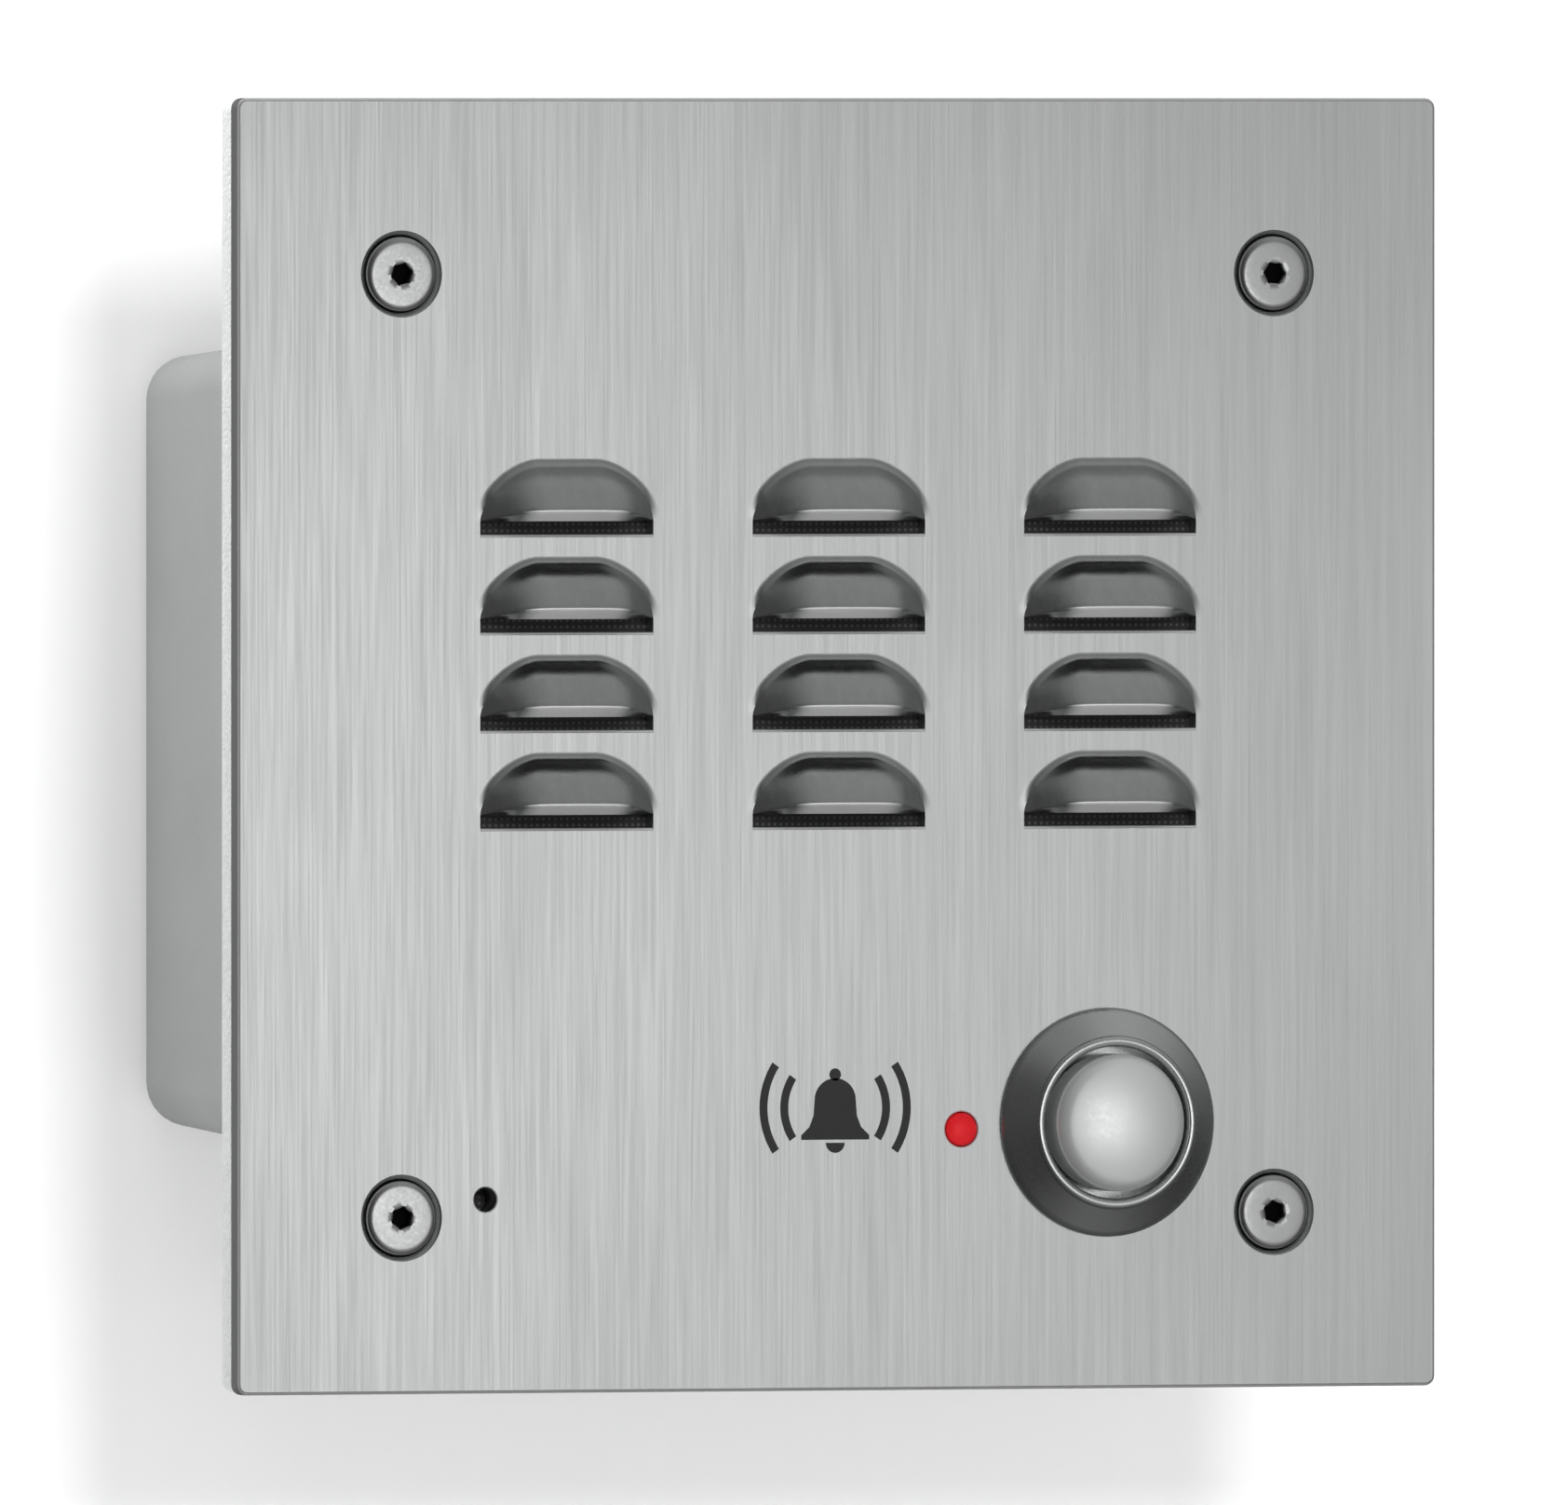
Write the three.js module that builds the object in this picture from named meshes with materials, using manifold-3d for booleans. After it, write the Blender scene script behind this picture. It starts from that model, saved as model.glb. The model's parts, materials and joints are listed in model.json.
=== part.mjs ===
// Flush-mounting door intercom panel: a louvred stainless faceplate that carries a call button, an indicator
// lamp, a microphone and a loudspeaker, with an electronics housing held behind it on four hexagonal spacers.
//
// Frame, in millimetres: the origin is the middle of the plane where the panel's foam gasket meets the wall
// box. +Z is up, +X is to the right of somebody facing the panel, and +Y points into the wall.
import * as THREE from "three";
import { ConvexGeometry } from "three/addons/geometries/ConvexGeometry.js";
import { mergeVertices } from "three/addons/utils/BufferGeometryUtils.js";
import Module from "manifold-3d";

const wasm = await Module();
wasm.setup();

// ---------- Driving dimensions ----------
const PANEL_SIZE = 127; // 5 inch square faceplate
const PANEL_THICKNESS = 2; // 14 gauge sheet
const PANEL_CORNER = 1;
const GASKET_THICKNESS = 3;
const GASKET_INNER = 104;
const Y_GASKET = -GASKET_THICKNESS; // back face of the faceplate
const Y_FRONT = Y_GASKET - PANEL_THICKNESS; // front face of the faceplate
const TOUCH = 0.02; // gap left where two pieces meet on flat faces

const SCREW_PITCH = 92.5; // square pattern of the wall box screws
const SCREW_SHANK_R = 2.08; // number 8 thread
const SCREW_LENGTH = 25;
const HEAD_FACE_R = 3.05; // flat face of the countersunk head, inside its rounded edge
const HEAD_R = 3.65;
const HEAD_RISE = 0.25; // how far the face stands proud of the sheet
const HEAD_EDGE = 0.35; // depth at which the head's 90 degree cone starts
const SINK_R = 4.15; // mouth of the countersink in the sheet
const HEAD_SIDES = 16;
const SCREW_SOCKET = { flats: 2.4, depth: 1.2 };

const LOUVRE = {
  columns: [-28.8, 0, 28.8],
  topRowBase: 20.3,
  rowPitch: 9.6,
  rows: 4,
  halfWidth: 9.3,
  slot: 1.4, // open height below the hood's lip
  rise: 6.3, // from the lip to the top of the hood
  reach: 3.7, // how far the lip stands out of the plate
  power: 2.7, // superellipse power of the hood's outline
  sheet: 1.3, // wall of the drawn hood
};

const CALL = { x: 28.4, z: -37.3, barrelR: 9.5 };
const LAMP = { x: 13, z: -37.9, r: 1.65 };
const MIC = { x: -37.4, z: -44.5, hole: 1.2 };
const SPEAKER = { x: 0, z: 9.8, frame: 64, stud: 26.5, coneR: 25.5, rollR: 28.5 };

const HOUSING = {
  rearY: 52,
  rimY: 24,
  rearHalf: [51.2, 38],
  draft: Math.tan(THREE.MathUtils.degToRad(3)),
  wall: 2.2,
  corner: 4.5,
  rearRound: 1.2,
  screwWell: 1.4, // how deep the screw heads sit in the rear wall
};
const BOARD = { frontY: 41, thickness: 1.6, half: [48.6, 35.4] };
const BOARD_BACK = BOARD.frontY + BOARD.thickness;
const SPACER = { x: 44, z: 31, flats: 6.35 };
const SPACER_THREAD_R = 1.75; // number 6 thread
const STUD_R = 1.6;
const STUD_END = 5; // y of the weld studs' tips
const STUD_ROOT = Y_GASKET - 0.5; // sunk into the sheet that they are welded to

// ---------- Materials ----------
const finish = (color, roughness, metalness) =>
  new THREE.MeshStandardMaterial({ color, roughness, metalness });
const MATERIAL = {
  brushedSteel: finish(0xb9bcbc, 0.36, 1),
  polishedSteel: finish(0xc9cccd, 0.18, 1),
  zincPlate: finish(0xb3b7b5, 0.32, 1),
  greyHousing: finish(0x9b9d9d, 0.5, 0.1),
  foam: finish(0xc6c9c9, 0.95, 0),
  blackPlastic: finish(0x1c1c1d, 0.5, 0),
  blackRubber: finish(0x17181a, 0.85, 0),
  redLens: finish(0xd8202b, 0.25, 0),
  paperCone: finish(0x2b2a29, 0.9, 0),
  ferrite: finish(0x3a3a3c, 0.6, 0.2),
  boardGreen: finish(0x1f5a35, 0.45, 0),
  terminalGreen: finish(0x2f7d4a, 0.45, 0),
  switchRed: finish(0xa8282a, 0.45, 0),
  whitePlastic: finish(0xe8e8e2, 0.45, 0),
  potBlue: finish(0x2c5fa8, 0.45, 0),
  relayBody: finish(0x23262b, 0.4, 0),
  transformerTape: finish(0xc8a13a, 0.5, 0),
  aluminium: finish(0xc2c4c6, 0.35, 1),
  leadGrey: finish(0x8c8f93, 0.6, 0),
};

// ---------- Geometry helpers ----------
// A closed geometry with only its shared positions, and with its faces turned outwards.
function closed(geometry) {
  const bare = geometry.index ? geometry.toNonIndexed() : geometry.clone();
  for (const name of Object.keys(bare.attributes)) if (name !== "position") bare.deleteAttribute(name);
  const merged = mergeVertices(bare, 1e-4);
  const p = merged.attributes.position;
  const index = merged.index.array;
  const [a, b, c] = [new THREE.Vector3(), new THREE.Vector3(), new THREE.Vector3()];
  let volume = 0;
  for (let i = 0; i < index.length; i += 3) {
    a.fromBufferAttribute(p, index[i]);
    b.fromBufferAttribute(p, index[i + 1]);
    c.fromBufferAttribute(p, index[i + 2]);
    volume += a.dot(b.cross(c));
  }
  if (volume < 0)
    for (let i = 0; i < index.length; i += 3) [index[i + 1], index[i + 2]] = [index[i + 2], index[i + 1]];
  return merged;
}

function toSolid(geometry) {
  const g = closed(geometry);
  const triVerts = new Uint32Array(g.index.array);
  return new wasm.Manifold(
    new wasm.Mesh({ numProp: 3, vertProperties: new Float32Array(g.attributes.position.array), triVerts }),
  );
}

function fromSolid(solid) {
  const mesh = solid.getMesh();
  return new THREE.BufferGeometry()
    .setAttribute("position", new THREE.BufferAttribute(new Float32Array(mesh.vertProperties), 3))
    .setIndex(new THREE.BufferAttribute(new Uint32Array(mesh.triVerts), 1));
}

const join = (first, ...others) =>
  fromSolid(others.reduce((solid, other) => solid.add(toSolid(other)), toSolid(first)));
const cut = (first, ...others) =>
  fromSolid(others.reduce((solid, other) => solid.subtract(toSolid(other)), toSolid(first)));

const at = (geometry, x, y, z) => geometry.clone().translate(x, y, z);

// A prism whose outline is drawn in X and Z, from y0 back to y1.
function prism(outline, y0, y1, curveSegments = 4) {
  return new THREE.ExtrudeGeometry(outline, { depth: y1 - y0, bevelEnabled: false, curveSegments })
    .rotateX(Math.PI / 2)
    .translate(0, y1, 0);
}

// A disc, shaft or hexagon along Y, from y0 to y1.
function rod(radius, y0, y1, sides = 16, turn = 0) {
  const cylinder = new THREE.CylinderGeometry(radius, radius, y1 - y0, sides);
  return cylinder.rotateY(turn).translate(0, (y0 + y1) / 2, 0);
}
// A round cutter whose flats, not its corners, lie at the radius, so that a shaft of that radius passes.
const bore = (radius, y0, y1, sides = 16) => rod(radius / Math.cos(Math.PI / sides), y0, y1, sides);
const hexagon = (flats, y0, y1, turn = 0) => rod(flats / Math.sqrt(3), y0, y1, 6, turn);

// A block from its lowest to its highest corner.
function block([x0, y0, z0], [x1, y1, z1]) {
  const box = new THREE.BoxGeometry(x1 - x0, y1 - y0, z1 - z0);
  return box.translate((x0 + x1) / 2, (y0 + y1) / 2, (z0 + z1) / 2);
}

// A solid of revolution about Y. The profile is a list of [radius, y].
function turned(profile, sides = 24) {
  return new THREE.LatheGeometry(profile.map(([r, y]) => new THREE.Vector2(r, y)), sides);
}
// The same with a profile that closes on itself away from the axis.
const turnedRing = (profile, sides = 24) => turned([...profile, profile[0]], sides);

// Rectangle with rounded corners, centred on (cx, cz).
function roundedRect(width, height, radius, cx = 0, cz = 0) {
  const shape = new THREE.Shape();
  const [x0, x1, z0, z1] = [cx - width / 2, cx + width / 2, cz - height / 2, cz + height / 2];
  shape.moveTo(x0 + radius, z0).lineTo(x1 - radius, z0);
  shape.absarc(x1 - radius, z0 + radius, radius, -Math.PI / 2, 0, false);
  shape.lineTo(x1, z1 - radius).absarc(x1 - radius, z1 - radius, radius, 0, Math.PI / 2, false);
  shape.lineTo(x0 + radius, z1).absarc(x0 + radius, z1 - radius, radius, Math.PI / 2, Math.PI, false);
  shape.lineTo(x0, z0 + radius).absarc(x0 + radius, z0 + radius, radius, Math.PI, 1.5 * Math.PI, false);
  return shape;
}

// Insulated lead of two cores side by side, along a smooth path.
function lead(points, coreRadius) {
  const path = new THREE.CatmullRomCurve3(points.map((p) => new THREE.Vector3(...p)), false, "centripetal");
  const section = new THREE.Shape();
  const half = coreRadius * 0.95;
  section.absarc(half, 0, coreRadius, -Math.PI / 2, Math.PI / 2, false);
  section.absarc(-half, 0, coreRadius, Math.PI / 2, 1.5 * Math.PI, false);
  const steps = 2 * points.length;
  return new THREE.ExtrudeGeometry(section, { steps, extrudePath: path, curveSegments: 2 });
}

const root = new THREE.Group();
function add(name, geometry, material, x = 0, y = 0, z = 0) {
  const mesh = new THREE.Mesh(closed(geometry), material);
  mesh.name = name;
  mesh.position.set(x, y, z);
  root.add(mesh);
  return mesh;
}
// The four corners of a rectangle, clockwise from top left as seen from the front.
const corners = (x, z) => [[-x, z], [x, z], [x, -z], [-x, -z]];

// ---------- Faceplate ----------
// A hood's form: the upper front quarter of a flattened dome, whose outline is a superellipse. Its lip lies
// on z = 0 and it reaches out towards -Y. below and behind say how far it runs past those two planes.
function hoodForm(halfWidth, rise, reach, below, behind) {
  const dome = new THREE.SphereGeometry(1, 12, 7).rotateZ(Math.PI / 2);
  const p = dome.attributes.position;
  for (let i = 0; i < p.count; i++) {
    const x = THREE.MathUtils.clamp(p.getX(i), -1, 1);
    const round = Math.sqrt(1 - x * x);
    const full = Math.pow(1 - Math.pow(Math.abs(x), LOUVRE.power), 1 / LOUVRE.power);
    const fill = round > 1e-3 ? full / round : 0;
    p.setXYZ(i, x * halfWidth, p.getY(i) * fill * reach, p.getZ(i) * fill * rise);
  }
  return toSolid(dome).intersect(toSolid(block([-20, -20, -below], [20, behind, 20])));
}

function louvrePlaces() {
  const places = [];
  for (let row = 0; row < LOUVRE.rows; row++)
    for (const x of LOUVRE.columns) places.push([x, LOUVRE.topRowBase - row * LOUVRE.rowPitch]);
  return places;
}

// Cutter for a countersunk screw. y is measured from the sheet's front face.
function countersink() {
  const outwards = 1 / Math.cos(Math.PI / HEAD_SIDES);
  const holeR = SCREW_SHANK_R + 0.2;
  const profile = [[0, -1], [SINK_R + 1, -1], [holeR, SINK_R - holeR], [holeR, PANEL_THICKNESS + 1],
    [0, PANEL_THICKNESS + 1]];
  return turned(profile.map(([r, y]) => [r * outwards, y]), HEAD_SIDES);
}

function faceplate() {
  const { halfWidth, slot, rise, reach, sheet } = LOUVRE;
  let solid = toSolid(prism(roundedRect(PANEL_SIZE, PANEL_SIZE, PANEL_CORNER), Y_FRONT, Y_GASKET, 2));
  const hole = (x, z, r, sides) => {
    solid = solid.subtract(toSolid(at(bore(r, Y_FRONT - 1, Y_GASKET + 1, sides), x, 0, z)));
  };
  for (const [x, z] of corners(SCREW_PITCH / 2, SCREW_PITCH / 2))
    solid = solid.subtract(toSolid(at(countersink(), x, Y_FRONT, z)));
  hole(CALL.x, CALL.z, CALL.barrelR + 0.1, 24);
  hole(LAMP.x, LAMP.z, LAMP.r + 0.1, 16);
  hole(MIC.x, MIC.z, MIC.hole, 12);
  const outer = hoodForm(halfWidth, rise, reach, 0, PANEL_THICKNESS / 2);
  const inner = hoodForm(halfWidth - sheet, rise - sheet, reach - sheet, 0.5, PANEL_THICKNESS / 2);
  const throat = hoodForm(halfWidth - sheet, rise - sheet, 40, 0.5, PANEL_THICKNESS + 1);
  const throatBehind = throat.intersect(toSolid(block([-20, 0, -20], [20, PANEL_THICKNESS + 1, 20])));
  const mouthHalf = halfWidth - sheet - 0.4;
  const mouth = toSolid(block([-mouthHalf, 0, -slot], [mouthHalf, PANEL_THICKNESS + 1, 0.2]));
  for (const [x, z] of louvrePlaces()) {
    const place = [x, Y_FRONT, z + slot];
    solid = solid.add(outer.translate(place));
    for (const opening of [inner, throatBehind, mouth]) solid = solid.subtract(opening.translate(place));
  }
  // Weld studs for the loudspeaker and for the spacers.
  for (const [x, z] of corners(SPEAKER.stud, SPEAKER.stud))
    solid = solid.add(toSolid(at(rod(STUD_R, STUD_ROOT, STUD_END, 12), SPEAKER.x + x, 0, SPEAKER.z + z)));
  for (const [x, z] of corners(SPACER.x, SPACER.z))
    solid = solid.add(toSolid(at(rod(STUD_R, STUD_ROOT, STUD_END, 12), x, 0, z)));
  return fromSolid(solid);
}
add("faceplate", faceplate(), MATERIAL.brushedSteel);

// Weather gasket between the faceplate and the rim of the wall box.
const gasketOutline = roundedRect(PANEL_SIZE - 0.4, PANEL_SIZE - 0.4, PANEL_CORNER);
gasketOutline.holes.push(roundedRect(GASKET_INNER, GASKET_INNER, 3));
add("panel_gasket", prism(gasketOutline, Y_GASKET + TOUCH, 0, 4), MATERIAL.foam);

// Countersunk socket screws that hold the panel to the wall box.
function panelScrew() {
  const coneEnd = HEAD_EDGE + HEAD_R - SCREW_SHANK_R;
  const tip = 1;
  const body = turned([
    [0, -HEAD_RISE], [HEAD_FACE_R, -HEAD_RISE], [(HEAD_FACE_R + HEAD_R) / 2, -HEAD_RISE / 2],
    [HEAD_R, HEAD_EDGE / 2], [HEAD_R, HEAD_EDGE],
    [SCREW_SHANK_R, coneEnd], [SCREW_SHANK_R, SCREW_LENGTH - tip],
    [SCREW_SHANK_R - tip, SCREW_LENGTH], [0, SCREW_LENGTH],
  ], HEAD_SIDES);
  return cut(body, hexagon(SCREW_SOCKET.flats, -HEAD_RISE - 1, SCREW_SOCKET.depth));
}
corners(SCREW_PITCH / 2, SCREW_PITCH / 2).forEach(([x, z], i) =>
  add(`panel_screw_${i + 1}`, panelScrew(), MATERIAL.polishedSteel, x, Y_FRONT, z),
);

// ---------- Call button ----------
// All of it is turned about one axis. y is measured from the faceplate's front face.
const CALL_RIM = -2.9;
const CALL_FLOOR = 1.7;
const CALL_WEB = 3.2;
const CALL_REAR = 13;
const BARREL = CALL.barrelR;
add("call_button_bezel", turnedRing([
  [11.3, -TOUCH], [11.3, -0.7], [10.6, -1.45], [8.75, -2.75], [8.4, CALL_RIM], [7.5, CALL_RIM],
  [7.5, CALL_FLOOR], [3.2, CALL_FLOOR], [3.2, CALL_WEB], [7.6, CALL_WEB], [7.6, CALL_REAR],
  [BARREL, CALL_REAR], [BARREL, -0.8],
  [10.9, -0.8], [10.9, -TOUCH],
]), MATERIAL.polishedSteel, CALL.x, Y_FRONT, CALL.z);
add("call_button_seal", turnedRing([[9.6, -TOUCH], [9.6, -0.75], [10.8, -0.75], [10.8, -TOUCH]]),
  MATERIAL.blackRubber, CALL.x, Y_FRONT, CALL.z);

// Domed cap with its stem, free to slide in the bezel, with a pocket under it for the return spring.
const CAP_R = 6.78;
const CAP_EDGE = -4;
const STEM_R = 2.6;
const STEM_END = 12.3;
const GROOVE_R = 2.1; // groove in the stem that holds the clip
const POCKET = { r: 5.3, y: -2.4 };
const SKIRT_END = -0.5;
const CAP_TOP = -5.7;
const CAP_ROUND = 0.35; // chamfer around the cap's edge
const CLIP_Y = [CALL_WEB + TOUCH, CALL_WEB + 0.8];
const dome = [1, 0.85, 0.6, 0.3].map((share) => [
  (CAP_R - CAP_ROUND) * share,
  CAP_TOP + (CAP_EDGE - CAP_ROUND - CAP_TOP) * share * share,
]);
add("call_button_cap", turned([
  [0, STEM_END], [STEM_R, STEM_END], [STEM_R, CLIP_Y[1] + 0.1], [GROOVE_R, CLIP_Y[1] + 0.1],
  [GROOVE_R, CALL_WEB - 0.05], [STEM_R, CALL_WEB - 0.05], [STEM_R, POCKET.y], [POCKET.r, POCKET.y],
  [POCKET.r, SKIRT_END], [CAP_R, SKIRT_END], [CAP_R, CAP_EDGE], ...dome, [0, CAP_TOP],
]), MATERIAL.polishedSteel, CALL.x, Y_FRONT, CALL.z);
const clipRing = [[2.2, CLIP_Y[0]], [4.6, CLIP_Y[0]], [4.6, CLIP_Y[1]], [2.2, CLIP_Y[1]]];
add("call_button_clip", turnedRing(clipRing, 16), MATERIAL.zincPlate, CALL.x, Y_FRONT, CALL.z);

// Return spring: ground ends, so its wire stays between the cap's pocket and the bezel's floor.
class Helix extends THREE.Curve {
  constructor(radius, y0, y1, turns) {
    super();
    Object.assign(this, { radius, y0, y1, turns });
  }
  getPoint(t) {
    const turn = 2 * Math.PI * this.turns * t;
    const y = this.y0 + (this.y1 - this.y0) * t;
    return new THREE.Vector3(this.radius * Math.cos(turn), y, this.radius * Math.sin(turn));
  }
}
function wireSpring(radius, y0, y1, turns, wireRadius) {
  const section = new THREE.Shape().absarc(0, 0, wireRadius, 0, 2 * Math.PI, false);
  const path = new Helix(radius, y0 + wireRadius, y1 - wireRadius, turns);
  return new THREE.ExtrudeGeometry(section, { steps: 10 * turns, extrudePath: path, curveSegments: 3 });
}
add("call_button_spring", wireSpring(4.1, -2.3, CALL_FLOOR - 0.1, 3, 0.35), MATERIAL.zincPlate,
  CALL.x, Y_FRONT, CALL.z);

// Hexagonal nut that clamps the bezel from behind. Its flats face left and right, clear of the lamp.
add("call_button_nut", cut(hexagon(22, Y_GASKET + TOUCH, Y_GASKET + 3), bore(BARREL + 0.05, -10, 10, 24)),
  MATERIAL.zincPlate, CALL.x, 0, CALL.z);

// Contact block, pushed into the barrel from behind, with two solder blades.
const MODULE_FRONT = 9.8;
const moduleBody = turned([
  [0, 20], [8.6, 20], [8.6, CALL_REAR + TOUCH], [7.4, CALL_REAR + TOUCH], [7.4, MODULE_FRONT],
  [3, MODULE_FRONT], [3, 16], [0, 16],
], 24);
const blades = [-3.2, 3.2].map((x) => block([x - 0.25, 19.5, -1.4], [x + 0.25, 24.5, 1.4]));
add("call_switch_module", join(moduleBody, ...blades), MATERIAL.blackPlastic, CALL.x, Y_FRONT, CALL.z);

// ---------- Indicator lamp ----------
add("led_lamp", turned([
  [0, 5.6], [2, 5.6], [2, 4.6], [LAMP.r, 4.6], [LAMP.r, 0.2], [LAMP.r * 0.92, -0.1], [LAMP.r * 0.7, -0.33],
  [LAMP.r * 0.38, -0.47], [0, -0.52],
], 20), MATERIAL.redLens, LAMP.x, Y_FRONT, LAMP.z);
add("led_holder", turnedRing([
  [LAMP.r + 0.1, 2 + TOUCH], [3.3, 2 + TOUCH], [3.3, 5.7], [2.15, 5.7], [2.15, 4.5], [LAMP.r + 0.1, 4.5],
], 20), MATERIAL.blackPlastic, LAMP.x, Y_FRONT, LAMP.z);

// ---------- Microphone ----------
add("mic_boot", turnedRing([
  [MIC.hole, 2 + TOUCH], [5, 2 + TOUCH], [5, 9.5], [4.3, 9.5], [3.1, 9.2], [3.1, 3.6], [MIC.hole, 3.6],
], 20), MATERIAL.blackRubber, MIC.x, Y_FRONT, MIC.z);
add("mic_capsule", turned([[0, 3.7], [2.6, 3.7], [3, 4], [3, 8.7], [0, 8.7]], 20), MATERIAL.aluminium,
  MIC.x, Y_FRONT, MIC.z);

// ---------- Loudspeaker ----------
// y is measured from the back of the faceplate.
const [SCREEN_T, SEAL_T] = [0.5, 1.5];
add("louvre_screen", prism(roundedRect(80, 41, 3, 0, SPEAKER.z), TOUCH, SCREEN_T, 3), MATERIAL.blackPlastic,
  0, Y_GASKET, 0);

// Square plate with one large round opening and four stud holes.
function speakerPlate(y0, y1, inset, openingR) {
  const side = SPEAKER.frame - inset;
  const hole = bore(STUD_R + 0.2, y0 - 1, y1 + 1, 8);
  const studs = corners(SPEAKER.stud, SPEAKER.stud).map(([x, z]) => at(hole, x, 0, z));
  return cut(prism(roundedRect(side, side, 5), y0, y1, 2), bore(openingR, y0 - 1, y1 + 1, 24), ...studs);
}
const BASKET_Y = SCREEN_T + SEAL_T;
const BASKET_T = 1.2; // pressed steel
const BASKET_REAR = BASKET_Y + 12 + BASKET_T;
const speakerAt = [SPEAKER.x, Y_GASKET, SPEAKER.z];
add("speaker_gasket", speakerPlate(SCREEN_T + TOUCH, BASKET_Y - TOUCH, 0.6, SPEAKER.rollR), MATERIAL.foam,
  ...speakerAt);

// Pressed basket: square flange, a cone with four windows, and the rear ring that carries the magnet.
const basketShell = turnedRing([
  [SPEAKER.rollR + 0.4, BASKET_Y], [SPEAKER.rollR + 0.4, BASKET_Y + 3.2], [17, BASKET_REAR - BASKET_T],
  [9.2, BASKET_REAR - BASKET_T], [9.2, BASKET_REAR], [18, BASKET_REAR],
  [SPEAKER.rollR + 0.4 + BASKET_T, BASKET_Y + 4], [SPEAKER.rollR + 0.4 + BASKET_T, BASKET_Y],
]);
const windows = [0, 1, 2, 3].map((i) =>
  block([-9, BASKET_Y + 5, 19], [9, BASKET_Y + 10.5, 40]).rotateY((i * Math.PI) / 2),
);
const flange = speakerPlate(BASKET_Y, BASKET_Y + BASKET_T, 0, SPEAKER.rollR + 0.8);
add("speaker_basket", cut(join(flange, basketShell), ...windows), MATERIAL.zincPlate, ...speakerAt);

// Half-roll surround, glued to the basket at its outer edge and to the cone at its inner edge.
const CONE_EDGE_Y = BASKET_Y + 1.4;
add("speaker_surround", turnedRing([
  [SPEAKER.rollR + 0.2, CONE_EDGE_Y], [SPEAKER.rollR - 0.8, CONE_EDGE_Y - 1],
  [SPEAKER.rollR - 2, CONE_EDGE_Y - 1],
  [SPEAKER.coneR + 0.1, CONE_EDGE_Y], [SPEAKER.coneR + 0.1, CONE_EDGE_Y + 0.5],
  [SPEAKER.rollR - 2, CONE_EDGE_Y - 0.4], [SPEAKER.rollR - 0.8, CONE_EDGE_Y - 0.4],
  [SPEAKER.rollR + 0.2, CONE_EDGE_Y + 0.5],
]), MATERIAL.blackRubber, ...speakerAt);

// Paper cone, dust cap and voice coil former, which move together. The neck is where all three meet.
function diaphragm() {
  const [formerR, formerT, formerEnd] = [7.6, 0.3, CONE_EDGE_Y + 14];
  const neck = CONE_EDGE_Y + 7.6;
  const paper = turnedRing([
    [formerR - formerT, neck - 0.4], [formerR - formerT, formerEnd], [formerR + formerT, formerEnd],
    [formerR + formerT, neck + 0.5], [SPEAKER.coneR, CONE_EDGE_Y + 0.6], [SPEAKER.coneR, CONE_EDGE_Y],
  ]);
  const dustCap = turned([
    [0, neck - 3], [3, neck - 2.7], [5.6, neck - 1.8], [7.25, neck - 0.3],
    [7.25, neck + 0.4], [5.4, neck - 1.1], [2.9, neck - 2.1], [0, neck - 2.4],
  ]);
  const glue = turnedRing([[7.1, neck - 0.6], [7.5, neck - 0.6], [7.5, neck + 0.6], [7.1, neck + 0.6]]);
  return join(paper, dustCap, glue);
}
add("speaker_cone", diaphragm(), MATERIAL.paperCone, ...speakerAt);

// Motor: a ferrite ring between the basket and a yoke whose pole fills the voice coil.
const MOTOR_Y = BASKET_REAR + TOUCH;
const MAGNET = { innerR: 11, outerR: 17, thickness: 5.6 };
const YOKE = { poleR: 6.6, plateR: 15.5, thickness: 1.8 };
const YOKE_Y = MOTOR_Y + MAGNET.thickness + TOUCH;
add("speaker_magnet", turnedRing([
  [MAGNET.innerR, MOTOR_Y], [MAGNET.outerR, MOTOR_Y], [MAGNET.outerR, MOTOR_Y + MAGNET.thickness],
  [MAGNET.innerR, MOTOR_Y + MAGNET.thickness],
]), MATERIAL.ferrite, ...speakerAt);
add("speaker_yoke", turned([
  [0, MOTOR_Y - 1], [YOKE.poleR, MOTOR_Y - 1], [YOKE.poleR, YOKE_Y], [YOKE.plateR, YOKE_Y],
  [YOKE.plateR, YOKE_Y + YOKE.thickness], [0, YOKE_Y + YOKE.thickness],
]), MATERIAL.zincPlate, ...speakerAt);

const speakerNut = cut(
  hexagon(6.35, BASKET_Y + BASKET_T + TOUCH, BASKET_Y + 3.6),
  rod(STUD_R + 0.1, 0, 20, 12),
);
corners(SPEAKER.stud, SPEAKER.stud).forEach(([x, z], i) =>
  add(`speaker_nut_${i + 1}`, speakerNut, MATERIAL.zincPlate, SPEAKER.x + x, Y_GASKET, SPEAKER.z + z),
);

// ---------- Spacers, board and housing ----------
const spacerBody = cut(
  hexagon(SPACER.flats, Y_GASKET + TOUCH, BOARD.frontY - TOUCH),
  rod(STUD_R + 0.1, Y_GASKET - 1, STUD_END + 1, 12),
  rod(SPACER_THREAD_R + 0.1, BOARD.frontY - 10, BOARD.frontY + 1, 12),
);
corners(SPACER.x, SPACER.z).forEach(([x, z], i) =>
  add(`spacer_${i + 1}`, spacerBody, MATERIAL.aluminium, x, 0, z),
);

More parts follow.
